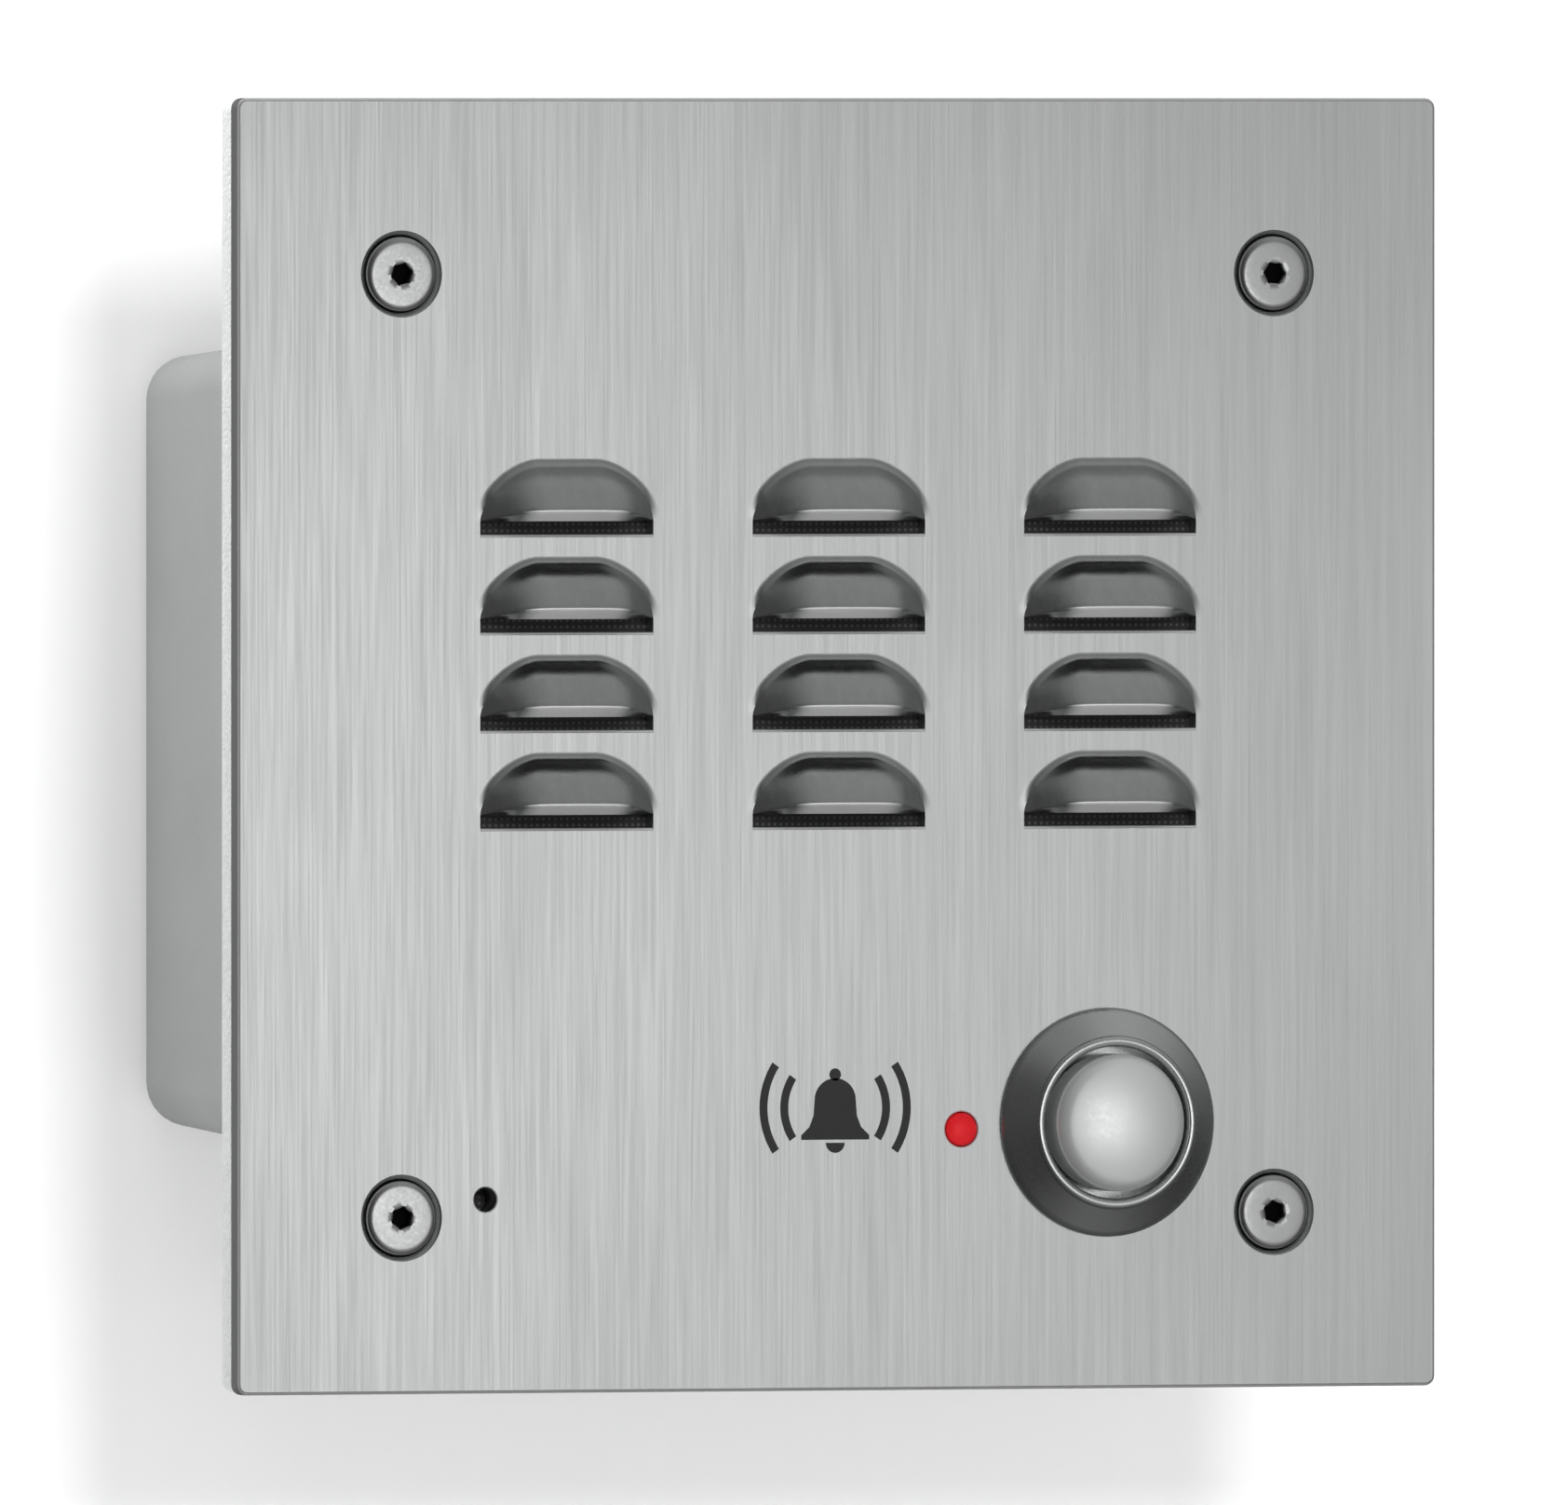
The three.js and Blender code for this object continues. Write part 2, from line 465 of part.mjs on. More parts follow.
// Everything that the housing's rear wall leaves reachable, as [x, z] on the board.
const TERMINAL = { x: -14, z: -21, pitch: 7.5, ways: 4, height: 13 };
const DIP = { x: 24, z: -21, pitch: 2.54, levers: 4, travel: 1.6 };
const POTS = { volume_pot: [14, 12], mic_pot: [30, 12] };
const LEARN = { x: -26, z: 14 };
const TERMINAL_W = TERMINAL.pitch * TERMINAL.ways + 2;
const DIP_W = DIP.pitch * DIP.levers + 2;

const screwHole = ([x, z], y0, y1) => at(bore(SPACER_THREAD_R + 0.15, y0, y1, 10), x, 0, z);
add("circuit_board", cut(
  prism(roundedRect(2 * BOARD.half[0], 2 * BOARD.half[1], 2), BOARD.frontY, BOARD_BACK, 2),
  ...corners(SPACER.x, SPACER.z).map((place) => screwHole(place, BOARD.frontY - 1, BOARD_BACK + 1)),
), MATERIAL.boardGreen);

// A drafted tray: wider at its open rim than at its closed rear, with rounded edges.
function taperedBox(shrink, y0, y1, corner, round) {
  const points = [];
  const ring = (y, inset) => {
    const grow = (HOUSING.rearY - y) * HOUSING.draft - shrink - inset;
    const [hx, hz] = HOUSING.rearHalf.map((half) => half + grow);
    for (const [sx, sz, start] of [[1, 1, 0], [-1, 1, 1], [-1, -1, 2], [1, -1, 3]])
      for (let k = 0; k <= 3; k++) {
        const turn = (start + k / 3) * (Math.PI / 2);
        points.push(new THREE.Vector3(
          sx * (hx - corner) + corner * Math.cos(turn), y, sz * (hz - corner) + corner * Math.sin(turn)));
      }
  };
  ring(y0, 0);
  for (const turn of round ? [0, 45, 90].map(THREE.MathUtils.degToRad) : [0])
    ring(y1 - round + round * Math.sin(turn), round - round * Math.cos(turn));
  return new ConvexGeometry(points);
}

function housing() {
  const { rimY, rearY, wall, corner, rearRound, screwWell } = HOUSING;
  const inside = rearY - wall;
  const boss = ([x, z]) => at(rod(4.2, BOARD_BACK + TOUCH, inside + 0.5, 12), x, 0, z);
  const shell = cut(
    taperedBox(0, rimY, rearY, corner, rearRound),
    taperedBox(wall, rimY - 1, inside, corner - wall, 0),
  );
  const window = (x, z, w, h) =>
    block([x - w / 2, inside - 1, z - h / 2], [x + w / 2, rearY + 1, z + h / 2]);
  const cuts = [
    window(TERMINAL.x, TERMINAL.z, TERMINAL_W + 1, TERMINAL.height + 1),
    window(DIP.x, DIP.z, DIP_W + 2, 11),
    at(rod(2.6, inside - 1, rearY + 1, 16), LEARN.x, 0, LEARN.z),
    ...Object.values(POTS).map(([x, z]) => at(rod(3.4, inside - 1, rearY + 1, 20), x, 0, z)),
  ];
  for (const [x, z] of corners(SPACER.x, SPACER.z)) {
    cuts.push(screwHole([x, z], BOARD_BACK - 1, rearY + 1));
    cuts.push(at(bore(3.3, rearY - screwWell, rearY + 1, 12), x, 0, z));
  }
  // Drain slots in the lower wall, and a row of vents in the upper one.
  for (const x of [-30, -10, 10, 30]) {
    cuts.push(block([x - 6, 31, -60], [x + 6, 33.5, -20]));
    cuts.push(block([x - 6, 31, 20], [x + 6, 33.5, 60]));
  }
  return cut(join(shell, ...corners(SPACER.x, SPACER.z).map(boss)), ...cuts);
}
add("rear_housing", housing(), MATERIAL.greyHousing);

// Pan-head screws through the housing's bosses and the board into the spacers.
const HEAD_Y = HOUSING.rearY - HOUSING.screwWell + TOUCH;
const recess = [[1.7, 0.35], [0.35, 1.7]].map(([x, z]) => block([-x, HEAD_Y + 1, -z], [x, HEAD_Y + 4, z]));
const housingScrew = cut(turned([
  [0, BOARD.frontY - 8], [SPACER_THREAD_R, BOARD.frontY - 7.4], [SPACER_THREAD_R, HEAD_Y], [3.1, HEAD_Y],
  [3.1, HEAD_Y + 1.2], [2.2, HEAD_Y + 2], [0, HEAD_Y + 2.2],
], 12), ...recess);
corners(SPACER.x, SPACER.z).forEach(([x, z], i) =>
  add(`housing_screw_${i + 1}`, housingScrew, MATERIAL.zincPlate, x, 0, z),
);

// ---------- Field wiring terminals ----------
// Each way has a square wire entry below its clamp screw, both facing the rear.
const terminalX = (way) => TERMINAL.x + (way - (TERMINAL.ways - 1) / 2) * TERMINAL.pitch;
const TERMINAL_BACK = HOUSING.rearY;
const CLAMP_Z = 3; // clamp screws above the block's middle
function terminalBlock() {
  const [halfW, halfH] = [TERMINAL_W / 2, TERMINAL.height / 2];
  const body = block([TERMINAL.x - halfW, BOARD_BACK + TOUCH, TERMINAL.z - halfH],
    [TERMINAL.x + halfW, TERMINAL_BACK, TERMINAL.z + halfH]);
  const holes = [];
  for (let way = 0; way < TERMINAL.ways; way++) {
    const x = terminalX(way);
    const [entryLow, entryHigh] = [TERMINAL.z - 5.2, TERMINAL.z - 0.9];
    holes.push(block([x - 2.3, TERMINAL_BACK - 6, entryLow], [x + 2.3, TERMINAL_BACK + 1, entryHigh]));
    holes.push(at(rod(2.5, TERMINAL_BACK - 5, TERMINAL_BACK + 1, 14), x, 0, TERMINAL.z + CLAMP_Z));
  }
  return cut(body, ...holes);
}
add("terminal_block", terminalBlock(), MATERIAL.terminalGreen);
const clampScrew = cut(rod(2.3, -4.9, -1.2, 14), block([-2.6, -2, -0.4], [2.6, 0, 0.4]));
for (let way = 0; way < TERMINAL.ways; way++)
  add(`terminal_screw_${way + 1}`, clampScrew, MATERIAL.zincPlate,
    terminalX(way), TERMINAL_BACK, TERMINAL.z + CLAMP_Z);

// ---------- Setting switches ----------
const DIP_TOP = BOARD_BACK + 5;
const leverX = (i) => DIP.x + (i - (DIP.levers - 1) / 2) * DIP.pitch;
function dipBody() {
  const [halfW, halfH, slotDepth] = [DIP_W / 2, 4.4, 1.6];
  const body = at(block([-halfW, BOARD_BACK + TOUCH, -halfH], [halfW, DIP_TOP, halfH]), DIP.x, 0, DIP.z);
  const slot = block([-0.75, DIP_TOP - slotDepth, DIP.z - 1.8], [0.75, DIP_TOP + 1, DIP.z + 1.8]);
  const slots = Array.from({ length: DIP.levers }, (_, i) => at(slot, leverX(i), 0, 0));
  return cut(body, ...slots);
}
add("dip_switch_body", dipBody(), MATERIAL.switchRed);
const leverBody = block([-0.6, DIP_TOP - 1.5, -0.8], [0.6, DIP_TOP + 0.9, 0.8]);
for (let i = 0; i < DIP.levers; i++)
  add(`dip_lever_${i + 1}`, leverBody, MATERIAL.whitePlastic, leverX(i), 0, DIP.z - DIP.travel / 2);

// ---------- Level trimmers ----------
const POT_TOP = BOARD_BACK + 5;
const potBody = cut(
  block([-3.4, BOARD_BACK + TOUCH, -3.4], [3.4, POT_TOP, 3.4]),
  rod(2.4, POT_TOP - 1.5, POT_TOP + 1, 20),
);
const potRotor = cut(
  rod(2.25, POT_TOP - 1.4, POT_TOP + 1, 20),
  block([-3, POT_TOP + 0.2, -0.35], [3, POT_TOP + 2, 0.35]),
);
for (const [name, [x, z]] of Object.entries(POTS)) {
  add(`${name}_body`, potBody, MATERIAL.potBlue, x, 0, z);
  add(`${name}_rotor`, potRotor, MATERIAL.whitePlastic, x, 0, z);
}

// ---------- Learn button ----------
const LEARN_TOP = BOARD_BACK + 3.5;
add("learn_switch_body", cut(
  block([-3, BOARD_BACK + TOUCH, -3], [3, LEARN_TOP, 3]),
  rod(1.9, LEARN_TOP - 1.6, LEARN_TOP + 1, 16),
), MATERIAL.blackPlastic, LEARN.x, 0, LEARN.z);
add("learn_switch_button", rod(1.75, LEARN_TOP - 1, HOUSING.rearY - 1.6, 16), MATERIAL.switchRed,
  LEARN.x, 0, LEARN.z);

// ---------- Tall parts on the front of the board ----------
const below = BOARD.frontY - TOUCH;
add("door_relay", block([-40, below - 12.5, -26], [-25, below, -7]), MATERIAL.relayBody);
function transformer() {
  const core = block([22, below - 11, 6], [40, below, 24]);
  const winding = block([24, below - 12.5, 4], [38, below - 1.5, 26]);
  return join(core, winding);
}
add("line_transformer", transformer(), MATERIAL.transformerTape);

// ---------- Internal leads ----------
const LEAD_END = below - 0.1;
function addLead(name, coreRadius, points) {
  add(name, lead(points, coreRadius), MATERIAL.leadGrey);
}
addLead("speaker_lead", 0.75, [
  [6, 15, -16.5], [10, 20, -20], [15, 25, -14], [16, 32, -4], [16, 37, 0], [16, LEAD_END, 0],
]);
addLead("mic_lead", 0.6, [
  [MIC.x, 3.9, MIC.z], [MIC.x, 12, MIC.z + 1], [-33, 22, -38], [-22, 30, -30], [-16, 36, -26],
  [-16, LEAD_END, -26],
]);
addLead("led_lead", 0.55, [
  [LAMP.x, 0.8, LAMP.z], [LAMP.x, 6, LAMP.z], [8, 16, -36], [2, 27, -31], [0, 36, -28], [0, LEAD_END, -28],
]);
addLead("call_lead", 0.7, [
  [CALL.x, 20, CALL.z], [CALL.x, 24, CALL.z + 2], [25, 29, -31], [22, 34, -27], [21, 37, -26],
  [21, LEAD_END, -26],
]);

export default root;
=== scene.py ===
"""Looks of the flush-mounting door intercom panel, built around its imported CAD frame.

Lengths here are millimetres, and show() turns them into metres. Lights, cards and the camera are in metres.
The frame is the CAD's: +Z up, +X to the right of somebody facing the panel, +Y into the wall.
"""
import json
import math
import random

import bmesh
import bpy
import numpy as np
from mathutils import Matrix, Vector

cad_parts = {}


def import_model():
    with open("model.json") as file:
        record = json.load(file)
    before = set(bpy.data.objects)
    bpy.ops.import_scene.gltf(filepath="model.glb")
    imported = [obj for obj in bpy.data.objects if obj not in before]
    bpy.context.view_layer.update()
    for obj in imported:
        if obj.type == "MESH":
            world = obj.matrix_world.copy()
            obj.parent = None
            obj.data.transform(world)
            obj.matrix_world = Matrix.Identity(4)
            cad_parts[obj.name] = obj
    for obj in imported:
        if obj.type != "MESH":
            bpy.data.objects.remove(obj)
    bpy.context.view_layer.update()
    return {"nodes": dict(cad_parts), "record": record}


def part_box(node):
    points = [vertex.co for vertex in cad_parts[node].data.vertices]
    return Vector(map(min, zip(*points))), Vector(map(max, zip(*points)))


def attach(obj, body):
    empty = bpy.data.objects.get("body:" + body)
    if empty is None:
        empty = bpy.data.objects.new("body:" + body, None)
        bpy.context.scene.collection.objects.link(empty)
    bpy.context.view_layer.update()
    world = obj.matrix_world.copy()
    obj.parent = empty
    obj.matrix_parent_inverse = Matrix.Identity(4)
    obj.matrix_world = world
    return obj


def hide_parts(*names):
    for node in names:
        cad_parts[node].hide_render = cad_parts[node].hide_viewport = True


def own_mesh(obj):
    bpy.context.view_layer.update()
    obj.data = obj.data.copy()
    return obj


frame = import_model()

MM = 0.001
TAU = 2 * math.pi


def node_box(node):
    """A CAD node's lowest and highest corners, in millimetres."""
    low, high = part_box(node)
    return low / MM, high / MM


def node_middle(node):
    """The middle of a CAD node's box."""
    low, high = node_box(node)
    return (low + high) / 2


def node_depth(node, origin=0.0):
    """How far a CAD node's front and back lie behind an origin on Y."""
    low, high = node_box(node)
    return low.y - origin, high.y - origin


def four_middles(stem):
    """The middles of the nodes stem_1 to stem_4."""
    return [node_middle(f"{stem}_{number}") for number in range(1, 5)]


def linked(name, data):
    """A new object in the scene that holds the data."""
    obj = bpy.data.objects.new(name, data)
    bpy.context.scene.collection.objects.link(obj)
    return obj


def direction(azimuth, elevation):
    """The way to what stands at these angles, in degrees. Azimuth 0 is straight in front of the panel."""
    a, e = math.radians(azimuth), math.radians(elevation)
    return Vector((math.sin(a) * math.cos(e), -math.cos(a) * math.cos(e), math.sin(e)))


# ---- materials ----
class Surface:
    """A Principled material, with short calls for the nodes that give it its detail."""

    def __init__(self, name, colour, metallic=0.0, roughness=0.5, **sockets):
        self.material = bpy.data.materials.new(name)
        self.material.use_nodes = True
        self.nodes = self.material.node_tree.nodes
        self.links = self.material.node_tree.links
        self.shader = self.nodes["Principled BSDF"]
        self.colour = (*colour, 1.0)
        self.set("Base Color", self.colour)
        self.set("Metallic", metallic)
        self.set("Roughness", roughness)
        for socket, value in sockets.items():
            self.set(socket.replace("_", " "), value)

    def set(self, socket, value):
        """Gives one of the shader's sockets a number, a colour or a link."""
        target = self.shader.inputs[socket]
        if isinstance(value, bpy.types.NodeSocket):
            self.links.new(value, target)
        else:
            target.default_value = value

    def _node(self, kind, links=(), **settings):
        node = self.nodes.new(kind)
        for key, value in settings.items():
            setattr(node, key, value)
        for socket, value in links:
            if isinstance(value, bpy.types.NodeSocket):
                self.links.new(value, node.inputs[socket])
            else:
                node.inputs[socket].default_value = value
        return node

    def place(self, stretch=(1, 1, 1)):
        """Object coordinates, in millimetres, squeezed by stretch."""
        coordinates = self._node("ShaderNodeTexCoord").outputs["Object"]
        scale = [s / MM for s in stretch]
        return self._node("ShaderNodeMapping", [("Vector", coordinates), ("Scale", scale)]).outputs["Vector"]

    def noise(self, stretch, detail=3.0, roughness=0.55):
        """Noise whose cells are 1 / stretch millimetres long."""
        links = [("Vector", self.place(stretch)), ("Scale", 1.0)]
        links += [("Detail", detail), ("Roughness", roughness)]
        return self._node("ShaderNodeTexNoise", links).outputs["Fac"]

    def spread(self, value, low, high):
        """Turns noise, which stays near its middle, into numbers from low to high."""
        links = [("Value", value), ("From Min", 0.3), ("From Max", 0.7), ("To Min", low), ("To Max", high)]
        return self._node("ShaderNodeMapRange", links).outputs["Result"]

    def math(self, operation, a, b=0.0):
        return self._node("ShaderNodeMath", [(0, a), (1, b)], operation=operation).outputs[0]

    def attribute(self, name):
        return self._node("ShaderNodeAttribute", attribute_name=name).outputs["Fac"]

    def mix(self, share, first, second):
        return self._node("ShaderNodeMix", [(0, share), (6, first), (7, second)], data_type="RGBA").outputs[2]

    def tinted(self, colour, by):
        """The colour made lighter or darker by a number near 1."""
        vector = self._node("ShaderNodeVectorMath", [(0, colour[:3])], operation="SCALE")
        self.links.new(by, vector.inputs["Scale"])
        return vector.outputs[0]

    def bump(self, height, depth, strength=1.0):
        """Raises and sinks the surface by height times depth, in millimetres."""
        links = [("Height", height), ("Distance", depth * MM), ("Strength", strength)]
        self.set("Normal", self._node("ShaderNodeBump", links).outputs["Normal"])


def brushed_sheet():
    """Stainless sheet brushed up and down. Its cut and pressed edges are painted lighter, less metallic and
    rougher: partly worn metal, partly a painted highlight along the louvre lips and the slots' lower edges.
    """
    steel = Surface("brushed steel sheet", (0.535, 0.545, 0.545), 1.0, 0.33, Anisotropic=0.6)
    fine = steel.noise((4.5, 4.5, 0.07), 4.0)
    streaks = steel.noise((1.1, 1.1, 0.03), 3.0)
    clouds = steel.noise((0.05, 0.05, 0.025), 2.0)
    shade = steel.math("ADD", steel.spread(streaks, -0.045, 0.045), steel.spread(fine, -0.05, 0.05))
    shade = steel.math("ADD", shade, steel.spread(clouds, 0.97, 1.03))
    # Marked edges are worn, and their colour is mixed towards pale grey as a painted highlight.
    worn_and_highlit = steel.attribute("wear_and_highlight")
    plain = steel.tinted(steel.colour, shade)
    steel.set("Base Color", steel.mix(worn_and_highlit, plain, (0.80, 0.80, 0.80, 1)))
    steel.set("Metallic", steel.math("SUBTRACT", 1.0, steel.math("MULTIPLY", worn_and_highlit, 0.3)))
    brushed = steel.math("SUBTRACT", 1.0, worn_and_highlit)
    rough = steel.math("MULTIPLY", brushed, steel.spread(fine, 0.29, 0.39))
    steel.set("Roughness", steel.math("ADD", rough, steel.math("MULTIPLY", worn_and_highlit, 0.45)))
    steel.set("Tangent", steel._node("ShaderNodeCombineXYZ", [("X", 1.0)]).outputs[0])
    grooves = steel.math("MULTIPLY", brushed, steel.math("ADD", fine, streaks))
    steel.bump(grooves, 0.012, 0.5)
    return steel.material


def machined_metal(name, colour, roughness, grain=0.02, blotch=0.03, metallic=1.0):
    """Bare or plated metal with fine scuff marks and slightly uneven polish. Marked recesses are painted near
    black and rougher, as painted shade.
    """
    metal = Surface(name, colour, metallic, roughness)
    marks = metal.noise((3.0, 3.0, 3.0), 5.0, 0.65)
    broad = metal.noise((0.25, 0.25, 0.25), 2.0)
    clean = metal.tinted(metal.colour, metal.spread(broad, 1 - blotch, 1 + blotch))
    recess_shade = metal.attribute("recess_shade")
    # Painted shade: near black where the mesh marks a recess, such as a screw's socket.
    metal.set("Base Color", metal.mix(recess_shade, clean, (0.012, 0.012, 0.012, 1)))
    rough = metal.spread(marks, max(0.03, roughness - 0.05), roughness + 0.06)
    metal.set("Roughness", metal.math("ADD", rough, metal.math("MULTIPLY", recess_shade, 0.4)))
    metal.bump(marks, grain * 0.2, 0.4)
    return metal.material


def moulded_plastic(name, colour, roughness=0.45, grain=0.02, blotch=0.04, pitch=2.5):
    """Moulded plastic with a fine eroded skin."""
    plastic = Surface(name, colour, 0.0, roughness)
    pores = plastic.noise((pitch, pitch, pitch), 4.0, 0.6)
    broad = plastic.noise((0.08, 0.08, 0.08), 2.0)
    plastic.set("Base Color", plastic.tinted(plastic.colour, plastic.spread(broad, 1 - blotch, 1 + blotch)))
    plastic.set("Roughness", plastic.spread(pores, roughness - 0.06, roughness + 0.08))
    plastic.bump(pores, grain, 0.6)
    return plastic.material


def foam():
    """Closed-cell foam: small pits over a soft, uneven skin."""
    sheet = Surface("gasket foam", (0.66, 0.67, 0.67), 0.0, 0.92)
    cells = sheet._node("ShaderNodeTexVoronoi", [("Vector", sheet.place((2.2, 2.2, 2.2))), ("Scale", 1.0)])
    pits = sheet.math("MULTIPLY", cells.outputs["Distance"], -1.0)
    shade = sheet.spread(sheet.noise((0.9, 0.9, 0.9)), 0.93, 1.05)
    sheet.set("Base Color", sheet.tinted(sheet.colour, shade))
    sheet.bump(pits, 0.12, 0.8)
    return sheet.material


def woven_screen():
    """Black cloth with a square weave."""
    cloth = Surface("louvre screen cloth", (0.05, 0.05, 0.052), 0.0, 0.85)
    across, up = (cloth._node("ShaderNodeTexWave", [("Vector", cloth.place()), ("Scale", 0.5)],
                              bands_direction=way) for way in ("X", "Z"))
    weave = cloth.math("MULTIPLY", across.outputs["Fac"], up.outputs["Fac"])
    cloth.set("Base Color", cloth.tinted(cloth.colour, cloth.spread(weave, 0.5, 1.4)))
    cloth.bump(weave, 0.12, 0.8)
    return cloth.material


def paper_cone():
    """Pressed paper pulp, with short fibres."""
    pulp = Surface("speaker paper", (0.035, 0.034, 0.033), 0.0, 0.9)
    fibres = pulp.noise((1.4, 1.4, 5.0), 6.0, 0.7)
    pulp.set("Base Color", pulp.tinted(pulp.colour, pulp.spread(fibres, 0.6, 1.6)))
    pulp.bump(fibres, 0.08, 0.7)
    return pulp.material


def circuit_laminate():
    """Solder mask over copper: tracks run across and up as slightly raised lighter lines."""
    mask = Surface("circuit laminate", (0.014, 0.105, 0.045), 0.0, 0.32, Coat_Weight=0.4)
    lines = []
    for pitch, wide, turn in ((1.3, 14.0, 0.0), (1.7, 11.0, math.pi / 2)):
        flat = mask._node("ShaderNodeMapping", [("Vector", mask.place()), ("Rotation", (-math.pi / 2, 0, 0))])
        flat = mask._node("ShaderNodeMapping", [("Vector", flat.outputs[0]), ("Rotation", (0, 0, turn))])
        bricks = mask._node("ShaderNodeTexBrick", [
            ("Vector", flat.outputs[0]), ("Scale", 1.0), ("Mortar Size", 0.14), ("Mortar Smooth", 0.2),
            ("Brick Width", wide), ("Row Height", pitch)], offset=0.37)
        lines.append(bricks.outputs["Fac"])
    here = mask.spread(mask.noise((0.12, 0.12, 0.12), 1.0), -4.0, 4.0)
    share = mask._node("ShaderNodeClamp", [("Value", here)]).outputs[0]
    track = mask._node("ShaderNodeMix", [(0, share), (2, lines[0]), (3, lines[1])]).outputs[0]
    mask.set("Base Color", mask.mix(track, mask.colour, (0.03, 0.19, 0.085, 1)))
    mask.bump(track, 0.03, 0.6)
    return mask.material


def lamp_plastic():
    """Diffusing red plastic of an indicator lamp, lit from within."""
    lens = Surface("red lens", (0.43, 0.009, 0.012), 0.0, 0.28,
                   Subsurface_Weight=0.2, Specular_IOR_Level=0.15)
    haze = lens.noise((1.5, 1.5, 1.5), 3.0)
    lens.set("Base Color", lens.tinted(lens.colour, lens.spread(haze, 0.94, 1.06)))
    lens.set("Emission Color", (0.80, 0.012, 0.025, 1))
    lens.set("Emission Strength", 0.15)
    lens.set("Roughness", lens.spread(haze, 0.24, 0.32))
    return lens.material


def printed_ink():
    """Screen-printed black ink, a little thin in places."""
    ink = Surface("printed ink", (0.010, 0.010, 0.011), 0.0, 0.5)
    thin = ink.noise((2.0, 2.0, 0.6), 4.0)
    ink.set("Base Color", ink.tinted(ink.colour, ink.spread(thin, 0.7, 1.6)))
    ink.set("Roughness", ink.spread(thin, 0.42, 0.6))
    ink.bump(thin, 0.01, 0.5)
    return ink.material


METALS = {  # colour and roughness, and where they differ: depth of grain, blotches and metallic share
    "polished_steel": ((0.66, 0.67, 0.67), 0.14),
    "bezel_steel": ((0.66, 0.67, 0.67), 0.24),
    "screw_steel": ((0.50, 0.505, 0.505), 0.31),
    "satin_steel": ((0.82, 0.83, 0.83), 0.41, 0.01, 0.015, 0.82),
    "zinc_plate": ((0.60, 0.61, 0.60), 0.28, 0.05, 0.06),
    "aluminium_bar": ((0.74, 0.75, 0.76), 0.34, 0.06),
    "aluminium_can": ((0.72, 0.73, 0.74), 0.30),
}
PLASTICS = {  # colour and roughness, and where they differ: depth of grain, blotches, grains per millimetre
    "grey_housing": ((0.365, 0.375, 0.37), 0.48, 0.012, 0.03),
    "black_rubber": ((0.022, 0.022, 0.023), 0.72, 0.03, 0.1),
    "black_plastic": ((0.022, 0.022, 0.024), 0.42),
    "ferrite": ((0.045, 0.045, 0.048), 0.6, 0.05, 0.12, 1.5),
    "terminal_green": ((0.02, 0.21, 0.075), 0.38),
    "switch_red": ((0.42, 0.014, 0.016), 0.38),
    "white_plastic": ((0.74, 0.74, 0.70), 0.42),
    "pot_blue": ((0.016, 0.075, 0.33), 0.36),
    "relay_black": ((0.02, 0.021, 0.026), 0.4),
    "transformer_tape": ((0.50, 0.32, 0.05), 0.35, 0.03, 0.12, 0.8),
    "lead_grey": ((0.22, 0.225, 0.235), 0.5, 0.02),
}
MATERIALS = {
    "brushed_steel_sheet": brushed_sheet(), "gasket_foam": foam(), "screen_black": woven_screen(),
    "red_lens": lamp_plastic(), "paper_cone": paper_cone(), "board_green": circuit_laminate(),
    "ink": printed_ink(),
    **{name: machined_metal(name.replace("_", " "), *look) for name, look in METALS.items()},
    **{name: moulded_plastic(name.replace("_", " "), *look) for name, look in PLASTICS.items()},
}


# ---- mesh helpers ----
def arc(centre, radius, start, end, steps):
    """Points on an arc, angles in degrees."""
    angles = [math.radians(start + (end - start) * k / steps) for k in range(steps + 1)]
    return [(centre[0] + radius * math.cos(a), centre[1] + radius * math.sin(a)) for a in angles]


def circle(x, z, radius, steps=48):
    """A round outline in X and Z."""
    angles = [TAU * k / steps for k in range(steps)]
    return [(x + radius * math.cos(a), z + radius * math.sin(a)) for a in angles]


def rounded_rectangle(x, z, width, height, radius, steps=8):
    """An outline in X and Z round a middle."""
    w, h = width / 2 - radius, height / 2 - radius
    corners = [(w, h, 0), (-w, h, 90), (-w, -h, 180), (w, -h, 270)]
    points = []
    for cx, cz, start in corners:
        points += arc((x + cx, z + cz), radius, start, start + 90, steps)
    return points


SIDE_SHARE = 0.45  # a rounded corner takes at most this share of the sides beside it
MITRE = 0.3  # keeps the corners of a sharp outline from running far out when it is offset


def eased(profile, radius, closed=False, steps=3, least=20):
    """A profile with its corners rounded. Corners that turn by less than `least` degrees stay."""
    count = len(profile)
    points = []
    for i, here in enumerate(profile):
        if not closed and i in (0, count - 1):
            points.append(here)
            continue
        here = Vector(here)
        before, after = Vector(profile[i - 1]) - here, Vector(profile[(i + 1) % count]) - here
        if before.length < 1e-6 or after.length < 1e-6 or math.degrees(math.pi - before.angle(after)) < least:
            points.append(tuple(here))
            continue
        reach = min(radius, SIDE_SHARE * before.length, SIDE_SHARE * after.length)
        first, last = here + before.normalized() * reach, here + after.normalized() * reach
        for k in range(steps + 1):
            t = k / steps
            points.append(tuple(first * (1 - t) ** 2 + here * 2 * t * (1 - t) + last * t * t))
    return points


def offset(loop, distance):
    """A closed outline moved outwards by distance. The outline runs anticlockwise in X and Z."""
    shifted = []
    count = len(loop)
    for i, here in enumerate(loop):
        here = Vector(here)
        before = (here - Vector(loop[i - 1])).normalized()
        after = (Vector(loop[(i + 1) % count]) - here).normalized()
        mean = (before + after).normalized()
        normal = Vector((mean.y, -mean.x))
        shifted.append(tuple(here + normal * distance / max(MITRE, mean.dot(after))))
    return shifted


def vertices(bm, points):
    """One row of new vertices."""
    return [bm.verts.new(point) for point in points]


